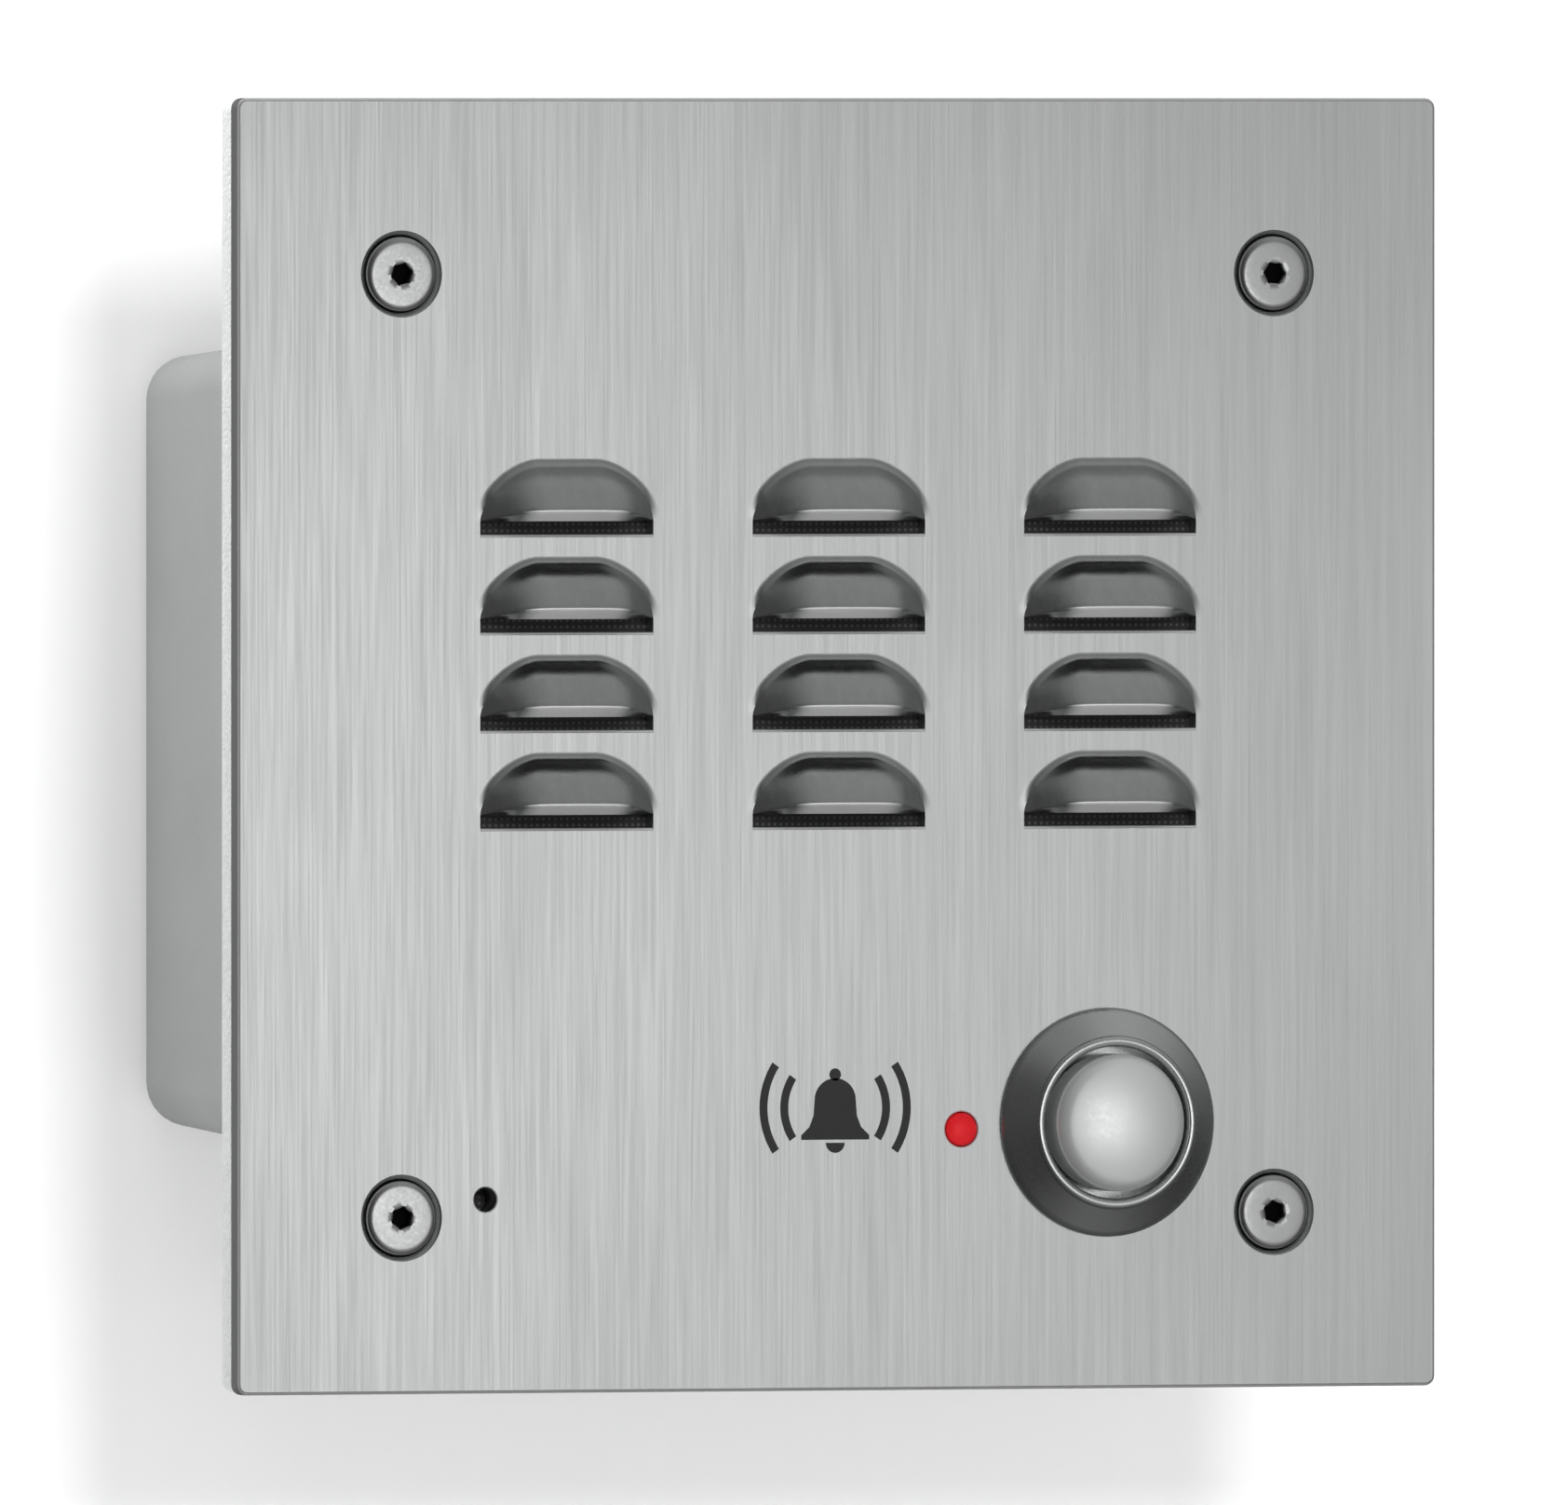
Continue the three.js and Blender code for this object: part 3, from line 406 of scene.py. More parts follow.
def skin(bm, rows, closed=True):
    """Quads between each row of vertices and the next; a row of one vertex is a point."""
    for first, second in zip(rows, rows[1:]):
        count = max(len(first), len(second))
        for k in range(count if closed else count - 1):
            after = (k + 1) % count
            places = ((first, k), (first, after), (second, after), (second, k))
            corners = list(dict.fromkeys(row[i % len(row)] for row, i in places))
            if len(corners) > 2:
                bm.faces.new(corners)


def fill(bm, loops):
    """A flat face between an outline and its holes, given as loops of vertices."""
    edges = []
    for loop in loops:
        for a, b in zip(loop, loop[1:] + loop[:1]):
            edges.append(bm.edges.get((a, b)) or bm.edges.new((a, b)))
    bmesh.ops.triangle_fill(bm, edges=edges, use_beauty=True, use_dissolve=False)


def loft(rings, closed=False, shaded_rings=0):
    """A skin through rings of points; one point closes an end. The first few rings, as many as the last
    argument says, are marked for painted shade in a recess.
    """
    bm = bmesh.new()
    recess_shade = bm.verts.layers.float.new("recess_shade")
    rows = [vertices(bm, points) for points in rings]
    for vert in [vert for row in rows[:shaded_rings] for vert in row]:
        vert[recess_shade] = 1.0
    skin(bm, rows + (rows[:1] if closed else []))
    return bm


def ring(radius, y, segments=48, flats=0.0):
    """A circle about Y. With flats it is a hexagon of that width, whose corners the radius cuts off."""
    if radius < 1e-6:
        return [(0, y, 0)]
    points = []
    for k in range(segments):
        a = TAU * k / segments
        r = radius
        if flats:
            r = min(radius, flats / 2 / math.cos((a + TAU / 12) % (TAU / 6) - TAU / 12))
        points.append((r * math.cos(a), y, r * math.sin(a)))
    return points


def lathe(profile, segments=72, closed=False):
    """A solid of revolution about Y. The profile is a list of (radius, y)."""
    return loft([ring(radius, y, segments) for radius, y in profile], closed)


def quarter_round(edge, steps):
    """Points on an edge's rounding, as (inset, depth), from the face to the side."""
    angles = np.linspace(0, math.pi / 2, steps + 1)
    return [(edge * (1 - math.sin(a)), edge * (1 - math.cos(a))) for a in angles]


def walls(bm, loop, side, y0, y1, edge, steps):
    """The walls of an outline, where side is -1, or of a hole, where it is 1. Its edges are rounded."""
    levels = quarter_round(edge, steps)
    rows = [(y0 + depth, inset) for inset, depth in levels]
    rows += [(y1 - depth, inset) for inset, depth in reversed(levels)]
    rows = [vertices(bm, [(x, y, z) for x, z in offset(loop, side * inset)]) for y, inset in rows]
    skin(bm, rows)
    return rows


def prism(outline, y0, y1, holes=(), edge=0.25, steps=3):
    """A plate whose outline and holes lie in X and Z, from y0 to y1, with rounded edges."""
    bm = bmesh.new()
    sides = [walls(bm, outline, -1, y0, y1, edge, steps)]
    sides += [walls(bm, hole, 1, y0, y1, edge, steps) for hole in holes]
    for end in (0, -1):
        fill(bm, [rows[end] for rows in sides])
    return bm


def block(low, high, edge=0.2, steps=2):
    """A block from its lowest to its highest corner, with rounded edges."""
    bm = bmesh.new()
    size = [b - a for a, b in zip(low, high)]
    middle = [(a + b) / 2 for a, b in zip(low, high)]
    bmesh.ops.create_cube(bm, size=1, matrix=Matrix.Translation(middle) @ Matrix.Diagonal((*size, 1)))
    if edge:
        bmesh.ops.bevel(bm, geom=bm.edges[:], offset=edge, segments=steps, profile=0.5, affect="EDGES")
    return bm


def join(*parts):
    """One bmesh that holds all the others."""
    whole = parts[0]
    for part in parts[1:]:
        temporary = bpy.data.meshes.new("part")
        part.to_mesh(temporary)
        whole.from_mesh(temporary)
        bpy.data.meshes.remove(temporary)
        part.free()
    return whole


def placed(bm, matrix):
    """The bmesh moved by a matrix."""
    bmesh.ops.transform(bm, matrix=matrix, verts=bm.verts)
    return bm


def moved(bm, x=0.0, y=0.0, z=0.0, turn=0.0):
    """The bmesh turned about Y, in degrees, and then moved."""
    return placed(bm, Matrix.Translation((x, y, z)) @ Matrix.Rotation(math.radians(turn), 4, "Y"))


def cut(bm, *cutters):
    """The bmesh without the cutters' space."""
    def to_object(source, name):
        bmesh.ops.recalc_face_normals(source, faces=source.faces)
        mesh = bpy.data.meshes.new(name)
        source.to_mesh(mesh)
        source.free()
        return linked(name, mesh)

    body, tool = to_object(bm, "body"), to_object(join(*cutters), "cutter")
    modifier = body.modifiers.new("cut", "BOOLEAN")
    modifier.object, modifier.operation, modifier.solver = tool, "DIFFERENCE", "EXACT"
    modifier.use_self = True
    bpy.context.view_layer.update()
    evaluated = body.evaluated_get(bpy.context.evaluated_depsgraph_get())
    result = bmesh.new()
    result.from_mesh(evaluated.to_mesh())
    evaluated.to_mesh_clear()
    for obj in (body, tool):
        mesh = obj.data
        bpy.data.objects.remove(obj)
        bpy.data.meshes.remove(mesh)
    return result


def thread(radius, y0, y1, pitch, depth, segments=48, rows=6):
    """The rings of a screw thread along Y, which tapers away at both ends."""
    count = max(2, round((y1 - y0) / pitch * rows))
    rings = []
    for i in range(count + 1):
        y = y0 + (y1 - y0) * i / count
        fade = max(0.0, min(1.0, (y - y0) / pitch, (y1 - y) / pitch))
        points = []
        for k in range(segments):
            turn = k / segments
            wave = abs(((y - y0) / pitch - turn) % 1 - 0.5) * 2
            r = radius - depth * wave * fade
            points.append((r * math.cos(TAU * turn), y, r * math.sin(TAU * turn)))
        rings.append(points)
    return rings


TWIST = 12  # steps of a path in which twisted wires go round once


def tube(points, radius, segments=12, steps=8, aside=0.0, start=0.0):
    """A round tube along a smooth path through the points, or winding round that path at a distance aside."""
    path = []
    padded = [points[0], *points, points[-1]]
    for a, b, c, d in zip(padded, padded[1:], padded[2:], padded[3:]):
        a, b, c, d = map(Vector, (a, b, c, d))
        for k in range(steps):
            t = k / steps
            path.append(0.5 * (2 * b + (c - a) * t + (2 * a - 5 * b + 4 * c - d) * t * t
                               + (3 * b - a - 3 * c + d) * t ** 3))
    path.append(Vector(points[-1]))
    bm = bmesh.new()
    rows, middles = [], []
    side = Vector((1, 0.2, 0.1))
    for i, here in enumerate(path):
        along = (path[min(i + 1, len(path) - 1)] - path[max(i - 1, 0)]).normalized()
        side = (side - along * side.dot(along)).normalized()
        other = along.cross(side)
        turn = start + TAU * i / TWIST
        here = here + aside * (math.cos(turn) * side + math.sin(turn) * other)
        middles.append(here)
        angles = [TAU * k / segments for k in range(segments)]
        around = [math.cos(a) * side + math.sin(a) * other for a in angles]
        rows.append(vertices(bm, [here + radius * out for out in around]))
    skin(bm, rows)
    for end in (0, -1):
        skin(bm, [rows[end], vertices(bm, [middles[end]])])
    return bm


WELD, TINY = 1e-4, 1e-5  # vertices that are closer are one, and shorter edges go
CRISP = math.radians(32)  # edges that turn more sharply stay crisp


def show(bm, name, material, body="panel", stands_for=None, slot=None):
    """Makes the bmesh a piece of the object, with a material, a body and the CAD nodes that it stands for."""
    bmesh.ops.remove_doubles(bm, verts=bm.verts, dist=WELD)
    bmesh.ops.dissolve_degenerate(bm, edges=bm.edges, dist=TINY)
    bmesh.ops.recalc_face_normals(bm, faces=bm.faces)
    bmesh.ops.scale(bm, vec=(MM, MM, MM), verts=bm.verts)
    mesh = bpy.data.meshes.new(name)
    bm.to_mesh(mesh)
    bm.free()
    mesh.polygons.foreach_set("use_smooth", [True] * len(mesh.polygons))
    mesh.set_sharp_from_angle(angle=CRISP)
    obj = linked(name, mesh)
    mesh.materials.append(MATERIALS[material])
    weighted = obj.modifiers.new("weighted normals", "WEIGHTED_NORMAL")
    weighted.keep_sharp = True
    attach(obj, body)
    if stands_for:
        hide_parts(stands_for)
    return obj


def show_turned(name, material, profile, at, segments=48, edge=0.0, closed=False, **facts):
    """Shows a solid of revolution about Y at a place. The corners of its profile are rounded by edge."""
    if edge:
        profile = eased(profile, edge, closed)
    return show(moved(lathe(profile, segments, closed), *at), name, material, **facts)


# ---- faceplate ----
GASKET, SHEET = 3.0, 2.0  # thickness of the foam behind the sheet, and of the sheet
Y_BACK = -GASKET
Y_FRONT = Y_BACK - SHEET
PLATE_LOW, PLATE_HIGH = node_box("faceplate")
PLATE = PLATE_HIGH.x - PLATE_LOW.x

LOUVRE_COLUMNS = (-28.8, 0.0, 28.8)
LOUVRE_FIRST, LOUVRE_PITCH, LOUVRE_ROWS = 20.3, 9.6, 4
SLOT_LOW, SLOT_HIGH = 0.4, 1.7  # lower and upper edge of the opening, above the louvre's own height
SLOT_EDGE = 0.28  # rounding of its lower edge
HOOD_HALF, HOOD_RISE, HOOD_REACH = 9.15, 5.3, 3.65
HOOD_FLAT = 3.1  # half the straight top of the outline, beyond which its shoulders are quarter superellipses
SHOULDER, SHOULDER_POWER = HOOD_HALF - HOOD_FLAT, 1.65
HOLLOW_WALL, HOLLOW_POWER = 1.0, 2.5  # the hollow behind the hood is a superellipse too
HOOD_STEEP, HOOD_SLOPE = 0.3, 0.6  # share of the hood that stands up steeply, and the even slope after it
HOOD_FLANK, FLANK_TURN = 3.8, 5  # width of the sloping ends, and how sharply they meet the middle
BLEND, BLEND_TURN = 1.15, math.radians(50)  # concave radius and turn where the hood leaves the sheet
LIP_FACE, LIP_SHEET, LIP_CORNER = 0.95, 1.6, 0.22  # the sheet's cut edge, which faces down and outwards
LIP_DULL, LIP_BRIGHT = 0.82, 0.96  # shares of the full reach where the lip's painted highlight starts and where it is full
BLEND_STEPS, FACE_STEPS, HOLLOW_STEPS = 7, 14, 8
CORNER_STEPS, CUT_STEPS = (1 / 3, 2 / 3, 1), (0.35, 0.7, 0.95, 1)
CROWDED = 1.4  # how much closer the points lie where the hood leaves the sheet


def bezier(start, corner, end, t):
    """A point on the curve that leaves start towards the corner and arrives at end from it."""
    return start * (1 - t) ** 2 + corner * 2 * t * (1 - t) + end * t * t


def hood_slice(arch_z, normal, height):
    """One upright slice through a hood and its opening, from the sheet's front to its back: (dx, z, height).

    Here the hood's outline stands arch_z above its lip, and the lip stands out by height.
    """
    radius = min(BLEND, height)
    blend = radius * (1 - math.cos(BLEND_TURN))
    face = min(LIP_FACE * height / HOOD_REACH, 0.4 * arch_z)
    inner_lip = height - (LIP_SHEET + (SHEET - LIP_SHEET) * (1 - height / HOOD_REACH))
    points = []
    for k in range(BLEND_STEPS):  # concave blend out of the sheet
        a = BLEND_TURN * (k / (BLEND_STEPS - 1)) ** CROWDED
        out = BLEND * (math.sin(BLEND_TURN) - math.sin(a))
        points.append((normal[0] * out, SLOT_HIGH + arch_z + normal[1] * out, radius * (1 - math.cos(a))))
    corner = Vector((face, height))
    last = 1 - min(0.5, LIP_CORNER / max(arch_z - face, 0.01))
    for k in range(1, FACE_STEPS + 1):  # the hood itself
        u = last * (k / FACE_STEPS) ** CROWDED
        rise = HOOD_SLOPE * u + (1 - HOOD_SLOPE) * math.tanh(u / HOOD_STEEP) / math.tanh(1 / HOOD_STEEP)
        points.append((0.0, SLOT_HIGH + arch_z - (arch_z - face) * u, blend + (height - blend) * rise))
    start = Vector((points[-1][1] - SLOT_HIGH, points[-1][2]))
    end = Vector((0.0, inner_lip))
    below = corner.lerp(end, min(0.4, LIP_CORNER / LIP_SHEET))
    lip = [bezier(start, corner, below, t) for t in CORNER_STEPS] + [below.lerp(end, t) for t in CUT_STEPS]
    hollow = []
    for k in range(1, HOLLOW_STEPS + 1):
        a = math.pi / 2 * k / HOLLOW_STEPS
        z = arch_z * (1 - HOLLOW_WALL / HOOD_RISE) * math.sin(a) ** (2 / HOLLOW_POWER)
        hollow.append((z, -SHEET + (inner_lip + SHEET) * max(0.0, math.cos(a)) ** (2 / HOLLOW_POWER)))
    return points + [(0.0, SLOT_HIGH + z, h) for z, h in [*lip, *hollow]]


LIP_FROM = BLEND_STEPS + FACE_STEPS  # the points of a slice from here to LIP_TO lie on the lip
LIP_TO = LIP_FROM + 5
CUT_FROM, CUT_TO = LIP_FROM - 1, LIP_FROM + 6  # a slice's cut edge, from the outer face to the inner one


def louvre(bm, wear_and_highlight, cx, cz, slices=60, bottom_steps=12):
    """Adds one louvre. Returns the outline of its opening in the sheet's front and back faces, as loops."""
    columns = []
    corner = slices * 2 // 5
    flat = slices - 2 * corner
    power = 2 / SHOULDER_POWER
    for i in range(slices + 1):
        left = i < slices / 2
        turn = math.pi / 2 * (1 - min(i if left else slices - i, corner) / corner) * (1 if left else -1)
        along = min(flat, max(0, i - corner)) / flat
        side, out, up = math.copysign(1, -turn), abs(math.sin(turn)), max(0.0, math.cos(turn))
        x = HOOD_FLAT * (2 * along - 1) + side * SHOULDER * out ** power
        arch_z = HOOD_RISE * up ** power if 0 < i < slices else 0.0
        normal = Vector((side * out ** (2 - power) / SHOULDER, up ** (2 - power) / HOOD_RISE)).normalized()
        ramp = (HOOD_HALF - abs(x)) / HOOD_FLANK
        height = HOOD_REACH * ramp / (1 + ramp ** FLANK_TURN) ** (1 / FLANK_TURN)
        # The lip is painted lighter as a highlight, most where the hood stands out furthest.
        lip_highlight = min(1.0, max(0.0, (height / HOOD_REACH - LIP_DULL) / (LIP_BRIGHT - LIP_DULL)))
        points = hood_slice(arch_z, normal, height)
        columns.append(vertices(bm, [(cx + x + dx, Y_FRONT - h, cz + z) for dx, z, h in points]))
        for vert in columns[-1][LIP_FROM:LIP_TO + 1]:
            vert[wear_and_highlight] = lip_highlight
    skin(bm, columns, closed=False)

    # The slot's lower edge, rounded at the front and painted lighter as a highlight, and the sheet's cut ends
    # beside it.
    levels = [(-inset, -depth) for inset, depth in quarter_round(SLOT_EDGE, 4)]
    straight = CUT_TO - CUT_FROM - 4
    levels += [(0.0, -SLOT_EDGE + (SLOT_EDGE - SHEET) * k / straight) for k in range(1, straight + 1)]
    bottoms = []
    for i in range(bottom_steps + 1):
        x = cx - HOOD_HALF + 2 * HOOD_HALF * i / bottom_steps
        bottoms.append(vertices(bm, [(x, Y_FRONT - h, cz + SLOT_LOW + z) for z, h in levels]))
        # The rounding of the slot's edge gets the full painted highlight.
        for vert in bottoms[-1][1:4]:
            vert[wear_and_highlight] = 1.0
    skin(bm, bottoms, closed=False)
    legs = []
    for column, bottom in ((columns[0], bottoms[0]), (columns[-1], bottoms[-1])):
        top = column[CUT_FROM:CUT_TO + 1]
        middle = vertices(bm, [(a.co + b.co) / 2 for a, b in zip(top, bottom)])
        skin(bm, [top, middle, bottom], closed=False)
        legs.append((middle[0], middle[-1]))

    front = [column[0] for column in columns] + columns[-1][1:BLEND_STEPS] + [legs[1][0]]
    front += [row[0] for row in reversed(bottoms)] + [legs[0][0]] + columns[0][BLEND_STEPS - 1:0:-1]
    back = [column[-1] for column in columns] + [legs[1][1]] + [row[-1] for row in reversed(bottoms)]
    return front, back + [legs[0][1]]


def without_repeats(loop):
    """The loop of vertices without those that coincide with the one before."""
    clean = []
    for vert in loop:
        if not clean or (vert.co - clean[-1].co).length > WELD:
            clean.append(vert)
    return clean


def faceplate():
    """Brushed sheet with its louvres, the holes for the button, lamp and microphone, and the countersinks."""
    bm = bmesh.new()
    wear_and_highlight = bm.verts.layers.float.new("wear_and_highlight")
    loops = []  # in the front and in the back face
    for row in range(LOUVRE_ROWS):
        for x in LOUVRE_COLUMNS:
            loops.append(louvre(bm, wear_and_highlight, x, LOUVRE_FIRST - row * LOUVRE_PITCH))
    for middle in four_middles("panel_screw"):
        countersink = ((4.28, 0), (4.2, 0.03), (4.14, 0.1), (2.34, 1.9), (2.28, SHEET))
        rows = [vertices(bm, [(x, Y_FRONT + depth, z) for x, z in circle(middle.x, middle.z, radius)])
                for radius, depth in countersink]
        skin(bm, rows)
        loops.append((rows[0], rows[-1]))
    edges = [(rounded_rectangle(0, 0, PLATE, PLATE, 1.0, 6), -1, 0.3)]
    round_holes = (("call_button_bezel", 9.6, 64), ("led_lamp", 1.72, 40), ("mic_capsule", 1.2, 32))
    for node, radius, steps in round_holes:
        middle = node_middle(node)
        edges.append((circle(middle.x, middle.z, radius, steps), 1, 0.12))
    for loop, side, rounding in edges:
        rows = walls(bm, loop, side, Y_FRONT, Y_BACK, rounding, 3)
        # Rounded edges of the outline and the holes are painted lighter: partly worn metal, partly a painted
        # highlight.
        for vert in rows[1] + rows[2]:
            vert[wear_and_highlight] = 0.7
        loops.append((rows[0], rows[-1]))
    for face in zip(*loops):
        fill(bm, [without_repeats(loop) for loop in face])
    mesh = show(bm, "faceplate_sheet", "brushed_steel_sheet", stands_for="faceplate").data
    flat = bmesh.new()
    flat.from_mesh(mesh)
    for edge in flat.edges:  # the flat of the sheet keeps its own shading up to its edge
        level = [abs(face.normal.y) > 0.9999 for face in edge.link_faces]
        if any(level) and not all(level):
            edge.smooth = False
    flat.to_mesh(mesh)
    flat.free()


faceplate()


# ---- front pieces ----
def panel_screw(index):
    """Countersunk screw with a hexagonal socket and a threaded shank. Its face stands a little proud."""
    name = f"panel_screw_{index}"
    low, high = node_box(name)
    middle, rise, length = (low + high) / 2, Y_FRONT - low.y, high.y - Y_FRONT
    radius, shank, edge = (high.x - low.x) / 2, 2.05, 0.35
    socket, rim, flat = 2.0, 1.22, 2.95  # the socket's width, its rim's radius, and that of the face's flat
    rings = [ring(0, 1.0)] + [ring(9, y, flats=socket) for y in (0.8, 0.12 - rise)]
    rings += [ring(rim + (flat - rim) * t, 0.02 * t ** 2 - rise + 0.01) for t in np.linspace(0, 1, 5)]
    for a in np.linspace(0, math.pi / 2, 9)[1:]:
        y = edge - 0.1 - (rise + edge - 0.13) * math.cos(a)
        rings.append(ring(flat + (radius - flat) * math.sin(a), y))
    rings += [ring(radius, edge), ring(shank, edge + radius - shank)]
    rings += thread(shank, edge + radius - shank + 0.1, length - 0.9, 0.79, 0.42)
    rings += [ring(1.2, length - 0.05), ring(0, length - 0.05)]
    # The socket's first two rings are marked for painted shade.
    show(moved(loft(rings, shaded_rings=2), middle.x, Y_FRONT, middle.z, 17 * index), f"{name}_fine", "screw_steel",
         stands_for=name, slot="polished_steel")


for number in range(1, 5):
    panel_screw(number)

CALL_MIDDLE = node_middle("call_button_bezel")
CALL = (CALL_MIDDLE.x, Y_FRONT, CALL_MIDDLE.z)


def call_bezel():
    """Conical bezel with a rounded lip, a bore for the cap, and a threaded barrel."""
    outside = eased([(11.28, -0.02), (11.28, -0.55), (10.9, -0.95), (8.62, -2.5)], 0.2, steps=4, least=8)
    outside += arc((8.05, -2.34), 0.56, -20, -175, 18)
    inside = eased([(7.46, 1.7), (3.2, 1.7), (3.2, 3.2), (7.6, 3.2), (7.6, 12.9), (9.2, 12.9)], 0.15)
    flange = [(9.5, -0.8), (10.95, -0.8), (10.95, -0.02)]
    rings = [ring(r, y, 96) for r, y in outside + inside]
    rings += reversed(thread(9.5, 2.4, 12.4, 1.0, 0.5, 96, 5))
    rings += [ring(r, y, 96) for r, y in flange]
    show(moved(loft(rings, closed=True), *CALL), "call_bezel_fine", "bezel_steel",
         stands_for="call_button_bezel", slot="polished_steel")


def call_cap():
    """Domed satin cap with a stem that runs back through the bezel."""
    radius, sphere, top, shoulder = 6.76, 19.5, -5.68, 5.6  # the last is where the dome's rounded edge starts
    stem = [(0, 12.3), (2.6, 12.3), (2.6, 4.1), (2.1, 4.1), (2.1, 3.15), (2.6, 3.15), (2.6, -2.4),
            (5.3, -2.4), (5.3, -0.5), (radius, -0.5), (radius, -3.3)]

    def on_dome(r):
        return r, top + sphere - math.sqrt(sphere ** 2 - r ** 2)

    start, end = Vector(on_dome(shoulder)), Vector((radius, -3.5))
    corner = start + Vector((1.0, 0.3))
    dome = [tuple(bezier(end, corner, start, t)) for t in np.linspace(0, 1, 10)]
    dome += [on_dome(shoulder * k / 18) for k in range(17, -1, -1)]
    show_turned("call_cap_fine", "satin_steel", eased(stem, 0.12) + dome, CALL, 96, body="call_button",
                stands_for="call_button_cap", slot="polished_steel")


def call_spring():
    """Return spring with its end coils closed."""
    low, high = node_box("call_button_spring")
    middle = (low + high) / 2
    radius, wire, turns, closed = (high.x - low.x) / 2 - 0.35, 0.33, 4.0, 0.14
    points = []
    for t in np.linspace(0, 1, 121):
        rise = min(1.0, max(0.0, (t - closed) / (1 - 2 * closed)))
        a = TAU * turns * t
        y = low.y + wire + rise * (high.y - low.y - 2 * wire)
        points.append((middle.x + radius * math.cos(a), y, middle.z + radius * math.sin(a)))
    coils = tube(points, wire, 10, 1)
    piece = show(coils, "call_spring_coils", "zinc_plate", stands_for="call_button_spring")
    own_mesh(piece)


def nut(name, bore, chamfer=0.35):
    """Hexagonal nut or spacer with chamfered corners, in a CAD node's box. Its flats face left and right."""
    low, high = node_box(name)
    middle, flats = (low + high) / 2, min(high.x - low.x, high.z - low.z)
    corner = flats / math.sqrt(3)
    rim = [(corner - chamfer, 0.0), (corner, chamfer * 0.6)]
    rows = [(r, low.y + dy) for r, dy in rim] + [(r, high.y - dy) for r, dy in reversed(rim)]
    ease = 0.2  # at both ends of the bore
    rings = [ring(bore, low.y + ease), ring(bore + ease, low.y)] + [ring(r, y, flats=flats) for r, y in rows]
    rings += [ring(bore + ease, high.y), ring(bore, high.y - ease)]
    slot = next(s["material_slot"] for s in frame["record"]["subparts"] if s["node"] == name)
    show(moved(loft(rings, closed=True), middle.x, 0, middle.z), f"{name}_fine", slot, stands_for=name)


def switch_module():
    """Round contact block behind the call button, with two solder blades."""
    low, high = node_box("call_switch_module")
    radius, blade_x, insulator = (high.x - low.x) / 2, 3.2, 0.22
    front, back = node_depth("call_switch_module", Y_FRONT)
    recess = eased([(3, front), (3, front + 6), (0, front + 6)], 0.1)[::-1]
    outside = eased([(3, front), (7.3, front), (7.3, 13.05), (radius, 13.05), (radius, 20), (0, 20)], 0.3)[1:]
    foot = eased([(0, 20.6), (1.9, 20.6), (2.1, 19.8), (2.1, 19.5), (0, 19.5)], 0.1)
    feet = [moved(lathe(foot, 24), x) for x in (-blade_x, blade_x)]
    show(moved(join(lathe(recess + outside), *feet), *CALL), "call_switch_case", "black_plastic",
         stands_for="call_switch_module")
    outline = [(-1.4, 19.6), (1.4, 19.6), (1.4, back - 0.8), (0.7, back), (-0.7, back), (-1.4, back - 0.8)]
    for side, x in (("left", -blade_x), ("right", blade_x)):
        blade = prism(outline, -insulator, insulator, [circle(0, back - 1.6, 0.5, 16)], 0.05, 1)
        placed(blade, Matrix(((0, 1, 0, x), (0, 0, 1, 0), (1, 0, 0, 0), (0, 0, 0, 1))))
        show(moved(blade, *CALL), f"call_blade_{side}", "zinc_plate")


def lamp():
    """Indicator lamp and the ring that holds it in the sheet."""
    middle, radius = node_middle("led_lamp"), 1.62
    at = (middle.x, Y_FRONT, middle.z)
    front, back = node_depth("led_lamp", Y_FRONT)
    lens = [(0, back), (1.95, back), (1.95, back - 1), (radius, back - 1), (radius, 0.1)]
    angles = np.linspace(0.1, math.pi / 2, 12)
    lens += [(radius * math.cos(a), 0.05 + (front - 0.05) * math.sin(a)) for a in angles]
    show_turned("lamp_lens", "red_lens", lens, at, edge=0.08, stands_for="led_lamp")
    holder = [(1.72, 2.05), (3.3, 2.05), (3.3, 5.7), (2.15, 5.7), (2.15, 4.5), (1.72, 4.5)]
    show_turned("lamp_ring", "black_plastic", holder, at, edge=0.2, closed=True, stands_for="led_holder")


def microphone():
    """Capsule in a rubber boot behind the pinhole, with a disc of felt in front of it."""
    middle = node_middle("mic_capsule")
    at = (middle.x, Y_FRONT, middle.z)
    boot = [(1.2, 2.03), (5, 2.03), (5, 9.5), (4.3, 9.5), (3.1, 9.2), (3.1, 3.2), (1.2, 3.2)]
    show_turned("microphone_boot", "black_rubber", boot, at, edge=0.3, closed=True, stands_for="mic_boot")
    can = [(0, 3.9), (0.7, 3.9), (0.7, 3.75), (2.6, 3.75), (2.98, 4.1), (2.98, 8.65), (2.6, 8.65), (2.6, 8.3),
           (0, 8.3)]
    show_turned("microphone_can", "aluminium_can", can, at, edge=0.1, stands_for="mic_capsule")
    felt = [(0, 3.25), (2.2, 3.25), (2.2, 3.72), (0, 3.72)]
    show_turned("microphone_felt", "screen_black", felt, at, edge=0.12)


